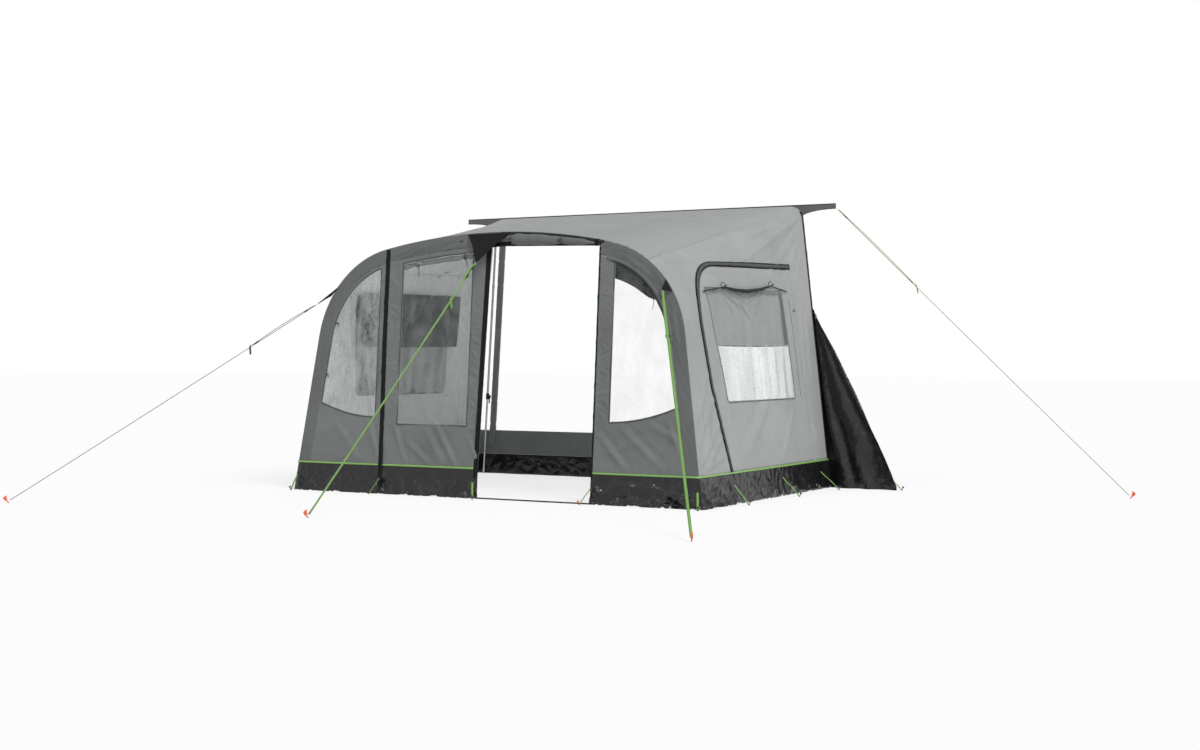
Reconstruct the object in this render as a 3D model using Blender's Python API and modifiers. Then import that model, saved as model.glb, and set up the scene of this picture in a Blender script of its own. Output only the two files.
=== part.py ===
"""Arched porch awning that hangs on the keder rail of a wall and stands on its own pole frame.

X runs along the rail, +Y points to the wall that carries the rail, Z is up. The origin is on the
ground, in the middle between the front and the rail and on the awning's plane of symmetry.
All sizes are in metres.
"""
import math

import bmesh
import bpy
from mathutils import Matrix, Vector

# Overall sizes
DEPTH = 2.55
PATCH_REACH = 0.0112
FRONT_Y = -(DEPTH - PATCH_REACH) / 2
RAIL_Y = (DEPTH + PATCH_REACH) / 2
RAIL_Z = 2.44
LEAN = 0.075
FRONT_HALF = 1.95
CROWN_Z = 2.13
REAR_HALF = 1.88
REAR_HALF_TOP = 1.60
EAR_HALF = 1.92
MUD_TOP = 0.24

# Curves of the two end profiles
CROWN_RADIUS = 5.4
SHOULDER_RADIUS = 0.85
LEG_SPLAY = 0.15
RAIL_RADIUS = 400.0
REAR_CORNER_RADIUS = 0.12

# Sheets
FABRIC = 0.002
FILM = 0.001
GAP = 0.0004
BAND_WIDTH = 0.12
SEAM_W = 1.35
HEM = 0.0005
REAR_SHEET_Y = RAIL_Y - 0.0025

# Front wall: zip line, doorway and windows
ZIP_X = -1.045
DOOR_LEFT_X = -0.022
DOOR_LEFT_LOW_X = -0.070
DOOR_RIGHT_X = 0.98
HEADER_LEFT_Z = 2.017
HEADER_RIGHT_Z = 1.993
STRAP_HEIGHT = 0.025
WINDOW_INSET = 0.140
WINDOW_CORNER = 0.03
INNER_WINDOW_LEFT_X = -0.895
INNER_WINDOW_RIGHT_X = -0.20
INNER_WINDOW_SILL = 0.575
INNER_WINDOW_INSET = 0.155
OUTER_WINDOW_EDGE_X = 1.12
OUTER_WINDOW_SILL = 0.63
OUTER_WINDOW_RISE = 0.115

# Side door and its window, seen from the side as distances from the rail and heights
SIDE_DOOR_FREE = ((1.985, 0.242), (2.245, 1.60), (2.06, 1.885))
SIDE_DOOR_HINGE = ((0.42, 1.885), (0.30, 0.242))
SIDE_DOOR_RADII = (0.0, 0.30, 0.15, 0.0, 0.0)
HINGE_GAP = 0.002
SIDE_WINDOW_FRONT = (1.875, 2.02)
SIDE_WINDOW_REAR = (0.568, 0.640)
SIDE_WINDOW_Z = (0.78, 1.67)
CURTAIN_LOW_Z = 1.215

# Poles
POLE_RADIUS = 0.0125
POLE_BORE = 0.0113
EXTENSION_RADIUS = 0.011
EXTENSION_BORE = 0.0094
SPIGOT_RADIUS = 0.0095
SPIGOT_LENGTH = 0.045
SOCKET_RADIUS = 0.0099
POLE_CLEARANCE = 0.0045
SLIM_RADIUS = 0.011
SLIM_BORE = 0.0098
SLIM_INNER_RADIUS = 0.0095
SLIM_INNER_BORE = 0.0080
TUBE_STEPS = 16
LEG_JOINT_Z = 0.62
LEG_OVERLAP = 0.30
UPRIGHT_BASE_X = 1.725
UPRIGHT_TOP_X = 1.575
UPRIGHT_TOP_Z = 2.30
UPRIGHT_Y = RAIL_Y - 0.035
UPRIGHT_JOINT_Z = 0.72
UPRIGHT_OVERLAP = 0.34
COLLAR_Z = 1.79
ROOF_POLE_X = 0.90
ROOF_POLE_REAR_Z = 2.385
ROOF_POLE_REAR_Y = RAIL_Y - 0.03
ROOF_POLE_JOINT = 0.55
ROOF_POLE_OVERLAP = 0.35

# Guys: webbing from the arch and the rail's right end to pegs in the ground
WEBBING_WIDTH = 0.020
WEBBING_TUBE = 0.005
GUY_SAG = 0.004
GUY_POINTS = 18
PEG_ROD_RADIUS = 0.0045
GUYS = {
    "left": ((-1.763, FRONT_Y + 0.085, 1.575), (-2.942, FRONT_Y - 2.192, 0.020)),
    "center": ((-0.061, FRONT_Y - 0.017, 1.886), (-0.158, FRONT_Y - 1.963, 0.020)),
    "right": ((1.583, FRONT_Y + 0.055, 1.640), (2.888, FRONT_Y - 1.959, 0.020)),
    "rear": ((1.928, RAIL_Y - 0.004, 2.405), (4.408, RAIL_Y + 0.097, 0.020)),
}

SLANT = math.hypot(1.0, LEAN)
LEAN_ANGLE = math.atan(LEAN)
SIDES = (("left", -1), ("right", 1))

COLOURS = {
    "front_cloth": ("6B6E6D", 0.80, 0.0),
    "side_cloth": ("A2A4A3", 0.80, 0.0),
    "roof_cloth": ("939694", 0.80, 0.0),
    "dark_cloth": ("3E3F40", 0.85, 0.0),
    "mud_sheet": ("2B2A2D", 0.40, 0.0),
    "clear_film": ("C8CCCC", 0.10, 0.0),
    "curtain_cloth": ("A4A6A6", 0.85, 0.0),
    "steel_tube": ("B9BBBB", 0.30, 1.0),
    "alloy_tube": ("C9CBCB", 0.35, 1.0),
    "black_plastic": ("1C1C1D", 0.45, 0.0),
    "green_webbing": ("6F9D45", 0.75, 0.0),
    "orange_plastic": ("D9552F", 0.45, 0.0),
    "foam_cloth": ("4A4C4C", 0.85, 0.0),
}


def clear_scene():
    for obj in list(bpy.data.objects):
        bpy.data.objects.remove(obj, do_unlink=True)


def linear(channel):
    if channel <= 0.04045:
        return channel / 12.92
    return ((channel + 0.055) / 1.055) ** 2.4


def make_material(name):
    hex_colour, roughness, metallic = COLOURS[name]
    material = bpy.data.materials.new(name)
    material.use_nodes = True
    shader = material.node_tree.nodes["Principled BSDF"]
    rgb = [linear(int(hex_colour[i:i + 2], 16) / 255) for i in (0, 2, 4)]
    shader.inputs["Base Color"].default_value = (*rgb, 1.0)
    shader.inputs["Roughness"].default_value = roughness
    shader.inputs["Metallic"].default_value = metallic
    material.diffuse_color = (*rgb, 1.0)
    return material


def material_of(name):
    return bpy.data.materials.get(name) or make_material(name)


def collection_of(name):
    found = bpy.data.collections.get(name)
    if found is None:
        found = bpy.data.collections.new(name)
        bpy.context.scene.collection.children.link(found)
    return found


def add_part(name, data, material, matrix=None):
    """Puts a mesh or a curve into the awning's collection under its own name."""
    obj = bpy.data.objects.new(name, data)
    data.materials.append(material_of(material))
    if matrix is not None:
        obj.matrix_world = matrix
    collection_of("porch_awning").objects.link(obj)
    return obj


def add_cutter(name, data, matrix=None):
    obj = bpy.data.objects.new(name, data)
    if matrix is not None:
        obj.matrix_world = matrix
    collection_of("cutters").objects.link(obj)
    obj.hide_render = True
    obj.display_type = "WIRE"
    return obj


def boolean(obj, cutter, operation):
    modifier = obj.modifiers.new(operation.lower() + "_" + cutter.name, "BOOLEAN")
    modifier.operation = operation
    modifier.object = cutter
    return modifier


def smooth(obj, angle=35.0):
    obj.data.shade_smooth()
    obj.data.set_sharp_from_angle(angle=math.radians(angle))


def bake_curve(obj):
    """Turns a curve object into a welded mesh under the same name."""
    depsgraph = bpy.context.evaluated_depsgraph_get()
    mesh = bpy.data.meshes.new_from_object(obj.evaluated_get(depsgraph))
    bm = bmesh.new()
    bm.from_mesh(mesh)
    bmesh.ops.remove_doubles(bm, verts=bm.verts, dist=0.00005)
    bmesh.ops.recalc_face_normals(bm, faces=bm.faces)
    bm.to_mesh(mesh)
    bm.free()
    name = obj.name
    curve = obj.data
    collection = obj.users_collection[0]
    baked = bpy.data.objects.new(name + "_mesh", mesh)
    baked.matrix_world = obj.matrix_world.copy()
    baked.hide_render = obj.hide_render
    baked.display_type = obj.display_type
    collection.objects.link(baked)
    bpy.data.objects.remove(obj, do_unlink=True)
    bpy.data.curves.remove(curve)
    baked.name = name
    return baked


# Profiles: a crown arc, a shoulder arc and a straight leg, tangent to each other

class Profile:
    """Right half of a cross-section of the canopy, from the middle of the crown to the ground.

    A place on it is one number, w: 0 to 1 on the crown, 1 to 2 on the shoulder, 2 to 3 on the leg
    down to the top of the mud wall, and 3 to 4 on the mud wall.
    """

    def __init__(self, half_base, top, crown_radius, corner_radius, splay):
        self.half_base = half_base
        self.top = top
        self.crown_radius = crown_radius
        self.corner_radius = corner_radius
        self.splay = splay
        self.crown_center_z = top - crown_radius
        reach = half_base - corner_radius * math.hypot(1.0, splay)
        qa = 1.0 + splay * splay
        qb = -2.0 * reach * splay - 2.0 * self.crown_center_z
        qc = reach * reach + self.crown_center_z ** 2 - (crown_radius - corner_radius) ** 2
        self.corner_z = (-qb + math.sqrt(qb * qb - 4.0 * qa * qc)) / (2.0 * qa)
        self.corner_x = reach - splay * self.corner_z
        self.crown_angle = math.atan2(self.corner_x, self.corner_z - self.crown_center_z)
        self.leg_angle = math.pi / 2 - math.atan(splay)

    def inset(self, distance):
        """The same cross-section, moved inwards by a distance."""
        base = self.half_base - distance * math.hypot(1.0, self.splay)
        return Profile(base, self.top - distance, self.crown_radius - distance,
                       self.corner_radius - distance, self.splay)

    def point(self, w):
        side = -1.0 if w < 0 else 1.0
        w = abs(w)
        if w <= 1.0:
            angle = self.crown_angle * w
            x = self.crown_radius * math.sin(angle)
            z = self.crown_center_z + self.crown_radius * math.cos(angle)
            return side * x, z
        if w <= 2.0:
            angle = self.crown_angle + (self.leg_angle - self.crown_angle) * (w - 1.0)
            x = self.corner_x + self.corner_radius * math.sin(angle)
            z = self.corner_z + self.corner_radius * math.cos(angle)
            return side * x, z
        leg_top = self.corner_z + self.corner_radius * math.cos(self.leg_angle)
        if w <= 3.0:
            z = leg_top + (MUD_TOP - leg_top) * (w - 2.0)
        else:
            z = HEM + (MUD_TOP - HEM) * (4.0 - w)
        return side * (self.half_base - self.splay * z), z

    def crown_z_at(self, x):
        return self.crown_center_z + math.sqrt(self.crown_radius ** 2 - x * x)

    def leg_w(self, z):
        leg_top = self.corner_z + self.corner_radius * math.cos(self.leg_angle)
        return 2.0 + (leg_top - z) / (leg_top - MUD_TOP)


ARCH = Profile(FRONT_HALF, CROWN_Z, CROWN_RADIUS, SHOULDER_RADIUS, LEG_SPLAY)
REAR = Profile(REAR_HALF, RAIL_Z, RAIL_RADIUS, REAR_CORNER_RADIUS,
               (REAR_HALF - REAR_HALF_TOP) / RAIL_Z)


def steps(start, end, count):
    return [start + (end - start) * i / count for i in range(count + 1)]


def canopy_point(w, v):
    """A point of the canopy's outer face: v is 0 at the front arch and 1 at the rail."""
    front_x, front_z = ARCH.point(w)
    rear_x, rear_z = REAR.point(w)
    front = Vector((front_x, FRONT_Y + LEAN * front_z, front_z))
    rear = Vector((rear_x, RAIL_Y - 0.003, rear_z))
    return front.lerp(rear, v)


def canopy_shell(name, w_values, side, material, thickness):
    """A sheet of the canopy, thickened inwards, with half a gap left on its long edges."""
    v_values = V_VALUES
    bm = bmesh.new()
    nw = len(w_values) - 1
    nv = len(v_values) - 1
    bmesh.ops.create_grid(bm, x_segments=nw, y_segments=nv, size=0.5)
    for vert in bm.verts:
        i = round((vert.co.x + 0.5) * nw)
        j = round((vert.co.y + 0.5) * nv)
        point = canopy_point(w_values[i], v_values[j])
        if i in (0, nw):
            inner = canopy_point(w_values[1 if i == 0 else nw - 1], v_values[j])
            point += (inner - point).normalized() * GAP / 2
        point.x *= side
        vert.co = point
    face = bm.faces[:][len(bm.faces) // 2]
    face.normal_update()
    if face.normal.dot(face.calc_center_median() - Vector((0, 0, 0.8))) < 0:
        bmesh.ops.reverse_faces(bm, faces=bm.faces)
    mesh = bpy.data.meshes.new(name)
    bm.to_mesh(mesh)
    bm.free()
    obj = add_part(name, mesh, material)
    solidify = obj.modifiers.new("thickness", "SOLIDIFY")
    solidify.thickness = thickness
    solidify.offset = -1.0
    solidify.use_even_offset = True
    return obj


# Flat outlines

def round_corners(points, radii, segments=6):
    """A closed outline whose corners are arcs of the given radii."""
    outline = []
    count = len(points)
    for i, radius in enumerate(radii):
        corner = Vector(points[i])
        if radius <= 0.0:
            outline.append(tuple(corner))
            continue
        before = (Vector(points[i - 1]) - corner).normalized()
        after = (Vector(points[(i + 1) % count]) - corner).normalized()
        half = before.angle(after) / 2
        start = corner + before * radius / math.tan(half)
        center = corner + (before + after).normalized() * radius / math.sin(half)
        end = corner + after * radius / math.tan(half)
        spoke = start - center
        turn = spoke.angle_signed(end - center)
        for k in range(segments + 1):
            arm = Matrix.Rotation(-turn * k / segments, 2) @ spoke
            outline.append(tuple(center + arm))
    return outline


def inset_outline(points, distance):
    """A closed outline moved inwards; its points run anticlockwise."""
    moved = []
    count = len(points)
    for i in range(count):
        here = Vector(points[i])
        before = (here - Vector(points[i - 1])).normalized()
        after = (Vector(points[(i + 1) % count]) - here).normalized()
        normal = Vector((-before.y - after.y, before.x + after.x))
        if normal.length < 1e-6:
            normal = Vector((-before.y, before.x))
        normal.normalize()
        spread = max(0.3, normal.dot(Vector((-before.y, before.x))))
        moved.append(tuple(here + normal * distance / spread))
    return moved


def area_sign(points):
    total = 0.0
    for i, point in enumerate(points):
        following = points[(i + 1) % len(points)]
        total += point[0] * following[1] - following[0] * point[1]
    return total


def flat_curve(name, outlines, thickness):
    curve = bpy.data.curves.new(name, "CURVE")
    curve.dimensions = "2D"
    curve.fill_mode = "BOTH"
    curve.extrude = thickness / 2
    for outline in outlines:
        spline = curve.splines.new("POLY")
        spline.points.add(len(outline) - 1)
        for point, place in zip(spline.points, outline):
            point.co = (place[0], place[1], 0.0, 1.0)
        spline.use_cyclic_u = True
    return curve


def front_matrix(depth):
    """Places an outline in the leaning front wall, a depth behind its outer face."""
    turn = Matrix.Rotation(math.pi / 2 - LEAN_ANGLE, 4, "X")
    return Matrix.Translation((0, FRONT_Y, 0)) @ turn @ Matrix.Translation((0, 0, -depth))


def front_sheet(name, outlines, material, thickness=FABRIC, depth=0.0):
    """A flat piece of the front wall, given by x and height."""
    slanted = [[(x, z * SLANT) for x, z in outline] for outline in outlines]
    curve = flat_curve(name, slanted, thickness)
    obj = add_part(name, curve, material, front_matrix(depth + thickness / 2))
    return bake_curve(obj)


def rear_sheet(name, outlines, material, thickness=FABRIC):
    """A flat upright piece in the plane of the rail, given by x and height."""
    curve = flat_curve(name, outlines, thickness)
    matrix = Matrix.Translation((0, REAR_SHEET_Y + thickness / 2, 0)) @ Matrix.Rotation(math.pi / 2, 4, "X")
    return bake_curve(add_part(name, curve, material, matrix))


def side_cutter(name, outline):
    """A bar across the whole awning whose section is an outline of y and height."""
    curve = flat_curve(name, [outline], 5.0)
    turn = Matrix(((0, 0, 1), (1, 0, 0), (0, 1, 0))).to_4x4()
    return bake_curve(add_cutter(name, curve, turn))


def arch_path(profile, w_start, w_end, count):
    return [profile.point(w) for w in steps(w_start, w_end, count)]


def half_arch(profile):
    """Points from the crown down to the top of the mud wall."""
    path = arch_path(profile, 0.0, 1.0, 6) + arch_path(profile, 1.0, 2.0, 14)[1:]
    return path + [(profile.point(3.0)[0], MUD_TOP + GAP)]


def arch_span(path, low_x, high_x):
    """The stretch of a whole arch between two x values, with both ends on its own straight pieces."""
    whole = mirrored(path)[:-1] + path
    ends = []
    for x in (low_x, high_x):
        for first, second in zip(whole, whole[1:]):
            if first[0] <= x <= second[0]:
                share = (x - first[0]) / (second[0] - first[0])
                ends.append((x, first[1] + (second[1] - first[1]) * share))
                break
    inside = [p for p in whole if low_x + 0.01 < p[0] < high_x - 0.01]
    return [ends[0]] + inside + [ends[1]]


# Straight and bent tubes

def frame_at(start, end):
    """A matrix whose Z axis runs from one point to another."""
    axis = (Vector(end) - Vector(start)).normalized()
    turn = axis.to_track_quat("Z", "Y").to_matrix().to_4x4()
    return Matrix.Translation(Vector(start)) @ turn


def turned(name, profile, matrix, material, count=TUBE_STEPS, closed=False):
    """A profile of radius and height, turned about the Z axis of its matrix."""
    bm = bmesh.new()
    verts = [bm.verts.new((radius, 0.0, height)) for radius, height in profile]
    for first, second in zip(verts, verts[1:]):
        bm.edges.new((first, second))
    if closed:
        bm.edges.new((verts[-1], verts[0]))
    mesh = bpy.data.meshes.new(name)
    bm.to_mesh(mesh)
    bm.free()
    obj = add_part(name, mesh, material, matrix)
    screw = obj.modifiers.new("turn", "SCREW")
    screw.steps = count
    screw.render_steps = count
    screw.use_merge_vertices = True
    screw.merge_threshold = 0.00001
    return obj


def tube_profile(outer, bore, low, high):
    """The closed section of a pipe, outer side first and from the top down."""
    return [(outer, high), (outer, low), (bore, low), (bore, high)]


def blind_profile(outer, bore, low, high, plug=0.03):
    """A pipe that is open at its low end and plugged at its high end."""
    return [(0.0, high), (outer, high), (outer, low), (bore, low), (bore, high - plug), (0.0, high - plug)]


def cylinder_mesh(name, radius, start, end, segments=TUBE_STEPS):
    bm = bmesh.new()
    length = (Vector(end) - Vector(start)).length
    lift = Matrix.Translation((0, 0, length / 2))
    bmesh.ops.create_cone(bm, cap_ends=True, segments=segments, radius1=radius, radius2=radius,
                          depth=length, matrix=frame_at(start, end) @ lift)
    mesh = bpy.data.meshes.new(name)
    bm.to_mesh(mesh)
    bm.free()
    return mesh


def box_mesh(name, low, high):
    bm = bmesh.new()
    size = [h - l for l, h in zip(low, high)]
    middle = [(l + h) / 2 for l, h in zip(low, high)]
    bmesh.ops.create_cube(bm, size=1.0, matrix=Matrix.Translation(middle) @ Matrix.Diagonal((*size, 1.0)))
    mesh = bpy.data.meshes.new(name)
    bm.to_mesh(mesh)
    bm.free()
    return mesh


def bent_tube(name, points, radius, material, radii=None, resolution=2):
    curve = bpy.data.curves.new(name, "CURVE")
    curve.dimensions = "3D"
    curve.bevel_depth = radius
    curve.bevel_resolution = resolution
    curve.use_fill_caps = True
    spline = curve.splines.new("POLY")
    spline.points.add(len(points) - 1)
    for i, (point, place) in enumerate(zip(spline.points, points)):
        point.co = (*place, 1.0)
        point.radius = radii[i] if radii else 1.0
    return add_part(name, curve, material)


def joined(target, others):
    """Adds helper solids to a part by union."""
    for other in others:
        boolean(target, other, "UNION")


# Pole frame

POLE_DEPTH = FABRIC + POLE_CLEARANCE + POLE_RADIUS
POLE_LINE = ARCH.inset(FABRIC + POLE_CLEARANCE + POLE_RADIUS)


def pole_point(w, side=1):
    x, z = POLE_LINE.point(w)
    return front_matrix(POLE_DEPTH) @ Vector((side * x, z * SLANT, 0.0))


def pole_tangent(w, side=1):
    """Direction of the bent pole at a place on it, from the crown towards the ground."""
    return (pole_point(w + 0.0005, side) - pole_point(w - 0.0005, side)).normalized()


def make_crown_pole():
    """The middle bar of the arch, with a socket in each of its straight ends."""
    points = [pole_point(w) for w in steps(-0.93, 0.93, 16)]
    sockets = []
    for label, side in SIDES:
        end = pole_point(1.0, side)
        inward = -pole_tangent(1.0, side)
        stretch = [end + inward * 0.055, end]
        points = stretch[::-1] + points if side < 0 else points + stretch
        mesh = cylinder_mesh("crown_socket", SOCKET_RADIUS, end - inward * 0.01, end + inward * (SPIGOT_LENGTH + 0.002))
        sockets.append(add_cutter("crown_socket_" + label, mesh))
    crown = bake_curve(bent_tube("arch_crown_pole", points, POLE_RADIUS, "steel_tube"))
    for socket in sockets:
        boolean(crown, socket, "DIFFERENCE")
    smooth(crown)


def make_shoulder_pole(label, side):
    """A bent elbow with straight ends and a swaged spigot at both of them."""
    top, low = pole_point(1.0, side), pole_point(2.0, side)
    top_way, low_way = pole_tangent(1.0, side), pole_tangent(2.0, side)
    points = [top + top_way * GAP, top + top_way * 0.03]
    points += [pole_point(w, side) for w in steps(1.06, 1.94, 12)]
    points += [low - low_way * 0.03, low]
    elbow = bake_curve(bent_tube("arch_shoulder_pole_" + label, points, POLE_RADIUS, "steel_tube"))
    for place, end, way in (("top", top, -top_way), ("low", low, low_way)):
        mesh = cylinder_mesh("spigot", SPIGOT_RADIUS, end - way * 0.012, end + way * SPIGOT_LENGTH)
        joined(elbow, [add_cutter("shoulder_spigot_" + place + "_" + label, mesh)])
    smooth(elbow)


def foot_plate(name, center, inward, half_width=0.0152, length=0.042):
    """A flat moulded foot that reaches inwards from the tube it carries."""
    low = (min(center.x - 0.014 * inward, center.x + length * inward), center.y - half_width, 0.0)
    high = (max(center.x - 0.014 * inward, center.x + length * inward), center.y + half_width, 0.006)
    return add_cutter(name, box_mesh(name, low, high))


def make_leg_poles(label, side):
    """The fixed upper tube of a leg and the extension that slides in it."""
    top = pole_point(2.0, side)
    low = pole_point(POLE_LINE.leg_w(0.0), side)
    along = (low - top).normalized()
    joint_length = (top.z - LEG_JOINT_Z) / -along.z
    frame = frame_at(top, low)
    turned("arch_leg_pole_" + label, tube_profile(POLE_RADIUS, POLE_BORE, GAP, joint_length), frame, "steel_tube",
           closed=True)
    full = (top.z - 0.003) / -along.z
    start = joint_length - LEG_OVERLAP
    extension = turned("arch_leg_extension_" + label, blind_profile(EXTENSION_RADIUS, EXTENSION_BORE, start, full),
                       frame, "alloy_tube")
    joined(extension, [foot_plate("leg_foot_" + label, top + along * full, -side)])


def make_crown_parts():
    make_crown_pole()
    for label, side in SIDES:
        make_shoulder_pole(label, side)
        make_leg_poles(label, side)


def upright_point(side, z):
    share = z / UPRIGHT_TOP_Z
    x = UPRIGHT_BASE_X + (UPRIGHT_TOP_X - UPRIGHT_BASE_X) * share
    return Vector((side * x, UPRIGHT_Y, z))


def make_upright(label, side):
    """A telescopic rear pole: upper tube with a moulded collar and cap, lower tube with a foot."""
    low = upright_point(side, UPRIGHT_JOINT_Z)
    top = upright_point(side, UPRIGHT_TOP_Z)
    length = (top - low).length
    collar = (COLLAR_Z - UPRIGHT_JOINT_Z) * length / (top.z - low.z)
    profile = [(0.0, length + 0.012), (0.004, length + 0.012), (0.004, length), (0.013, length),
               (0.013, length - 0.030), (SLIM_RADIUS, length - 0.030), (SLIM_RADIUS, collar + 0.018),
               (0.0135, collar + 0.015), (0.0135, collar - 0.015), (SLIM_RADIUS, collar - 0.018),
               (SLIM_RADIUS, 0.0), (SLIM_BORE, 0.0), (SLIM_BORE, length - 0.10), (0.0, length - 0.10)]
    turned("rear_upright_upper_" + label, profile, frame_at(low, top), "alloy_tube")
    base = upright_point(side, 0.003)
    inner_end = upright_point(side, UPRIGHT_JOINT_Z + UPRIGHT_OVERLAP)
    lower = turned("rear_upright_lower_" + label,
                   blind_profile(SLIM_INNER_RADIUS, SLIM_INNER_BORE, 0.0, (inner_end - base).length),
                   frame_at(inner_end, base), "alloy_tube")
    joined(lower, [foot_plate("upright_foot_" + label, base, -side)])


CLAMP_SLEEVE = 0.0165
CLAMP_HALF = 0.028
LUG_REACH = 0.031
PIN_REACH = 0.0245
PIN_RADIUS = 0.0028
LUG_HALF_Y = 0.0105
LEVER_HALF_Y = 0.0052


def clamp_frame(side):
    """Z runs up the pole from the clamp's middle, X points from the pole to the lever."""
    low = upright_point(side, UPRIGHT_JOINT_Z + 0.020)
    up = (upright_point(side, UPRIGHT_TOP_Z) - low).normalized()
    y_axis = Vector((0.0, -side, 0.0))
    x_axis = y_axis.cross(up).normalized()
    matrix = Matrix((x_axis, up.cross(x_axis), up)).transposed().to_4x4()
    matrix.translation = low
    return matrix


def make_clamp(label, side):
    """A split sleeve with two lugs and a pin, and the cam lever that turns on the pin."""
    frame = clamp_frame(side)
    clamp = turned("rear_upright_clamp_" + label,
                   tube_profile(CLAMP_SLEEVE, SLIM_RADIUS + GAP, -CLAMP_HALF, CLAMP_HALF),
                   frame, "black_plastic", closed=True)
    lug_bars = []
    for place, y_low, y_high in (("a", -LUG_HALF_Y, -LEVER_HALF_Y - GAP), ("b", LEVER_HALF_Y + GAP, LUG_HALF_Y)):
        mesh = box_mesh("lug", (SLIM_RADIUS + 0.002, y_low, -0.012), (LUG_REACH, y_high, 0.012))
        mesh.transform(frame)
        lug_bars.append(add_cutter("clamp_lug_" + place + "_" + label, mesh))
    pin = cylinder_mesh("pin", PIN_RADIUS, (PIN_REACH, -LUG_HALF_Y - 0.001, 0), (PIN_REACH, LUG_HALF_Y + 0.001, 0), 12)
    pin.transform(frame)
    joined(clamp, lug_bars + [add_cutter("clamp_pin_" + label, pin)])

    cam = 0.0068
    handle = [(PIN_REACH + cam * math.cos(a), cam * math.sin(a)) for a in steps(-0.35, math.pi, 9)]
    handle += [(PIN_REACH - cam, -0.008), (CLAMP_SLEEVE + 0.0022, -0.016), (CLAMP_SLEEVE + 0.0022, -0.058),
               (CLAMP_SLEEVE + 0.0052, -0.066), (CLAMP_SLEEVE + 0.0105, -0.062), (CLAMP_SLEEVE + 0.0090, -0.030)]
    hole = [(PIN_REACH + (PIN_RADIUS + GAP) * math.cos(a), (PIN_RADIUS + GAP) * math.sin(a))
            for a in steps(0.0, math.tau * 11 / 12, 11)]
    curve = flat_curve("lever", [handle, hole], 2 * LEVER_HALF_Y)
    stand = Matrix.Rotation(math.pi / 2, 4, "X")
    lever = bake_curve(add_part("rear_upright_lever_" + label, curve, "black_plastic", frame @ stand))
    pivot = frame @ Vector((PIN_REACH, 0, 0))
    recentre(lever, pivot)


def recentre(obj, pivot):
    """Moves an object's origin to its joint without moving its mesh."""
    offset = Matrix.Translation(pivot)
    obj.data.transform(offset.inverted() @ obj.matrix_world)
    obj.matrix_world = offset


def roof_pole_ends(side):
    x, z = POLE_LINE.point(0.0)
    plane_z = POLE_LINE.crown_z_at(ROOF_POLE_X)
    front = front_matrix(POLE_DEPTH) @ Vector((side * ROOF_POLE_X, plane_z * SLANT, 0.0))
    rear = Vector((side * ROOF_POLE_X, ROOF_POLE_REAR_Y, ROOF_POLE_REAR_Z))
    return front, rear


CLIP_OUTER = 0.0172
CLIP_WIDTH = 0.022
COLLAR_RADIUS = 0.0165
COLLAR_HALF = 0.026
END_CAP_RADIUS = 0.0108


def make_roof_pole(label, side):
    """A telescopic bar from the arch to the rail: clip and outer tube, twist collar, inner tube and pad."""
    front, rear = roof_pole_ends(side)
    frame = frame_at(front, rear)
    length = (rear - front).length
    joint = length * ROOF_POLE_JOINT
    outer = turned("roof_pole_front_" + label, tube_profile(SLIM_RADIUS, SLIM_BORE, 0.030, joint),
                   frame, "alloy_tube", closed=True)
    along = (rear - front).normalized()
    slope = -side * ROOF_POLE_X / math.sqrt((CROWN_RADIUS - POLE_DEPTH) ** 2 - ROOF_POLE_X ** 2)
    bar = Vector((side, 0.0, side * slope)).normalized()
    inner = POLE_RADIUS + 0.0006
    mouth = math.radians(55)
    angles = steps(mouth, math.tau - mouth, 16)
    clip = [(CLIP_OUTER * math.cos(a), CLIP_OUTER * math.sin(a)) for a in angles]
    clip += [(inner * math.cos(a), inner * math.sin(a)) for a in reversed(angles)]
    z_axis = bar
    x_axis = -(along - bar * along.dot(bar)).normalized()
    matrix = Matrix((x_axis, z_axis.cross(x_axis), z_axis)).transposed().to_4x4()
    matrix.translation = front
    clip_solid = bake_curve(add_cutter("roof_clip_" + label, flat_curve("clip", [clip], CLIP_WIDTH), matrix))
    plug = add_cutter("roof_plug_" + label,
                      cylinder_mesh("plug", SLIM_RADIUS - 0.0004, front + along * 0.0155, front + along * 0.050))
    joined(outer, [plug, clip_solid])
    inner_start = joint - ROOF_POLE_OVERLAP
    end = length - 0.012
    profile = [(0.0, end + 0.008), (END_CAP_RADIUS, end + 0.008), (END_CAP_RADIUS, end), (SLIM_INNER_RADIUS, end),
               (SLIM_INNER_RADIUS, inner_start), (SLIM_INNER_BORE, inner_start), (SLIM_INNER_BORE, end - 0.03),
               (0.0, end - 0.03)]
    turned("roof_pole_rear_" + label, profile, frame, "alloy_tube")
    collar_mid = joint - 0.020
    collar = [(COLLAR_RADIUS - 0.003, collar_mid + COLLAR_HALF), (COLLAR_RADIUS, collar_mid + COLLAR_HALF - 0.006),
              (COLLAR_RADIUS, collar_mid - COLLAR_HALF + 0.006), (COLLAR_RADIUS - 0.003, collar_mid - COLLAR_HALF),
              (SLIM_RADIUS + GAP, collar_mid - COLLAR_HALF), (SLIM_RADIUS + GAP, collar_mid + COLLAR_HALF)]
    turned("roof_pole_collar_" + label, collar, frame, "black_plastic", closed=True)


# Canopy

ROOF_W = steps(-SEAM_W, -1.0, 5) + steps(-1.0, 1.0, 12)[1:] + steps(1.0, SEAM_W, 5)[1:]
WALL_W = steps(SEAM_W, 2.0, 9) + steps(2.0, 3.0, 4)[1:]
V_VALUES = steps(0.0, 1.0, 8)


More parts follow.
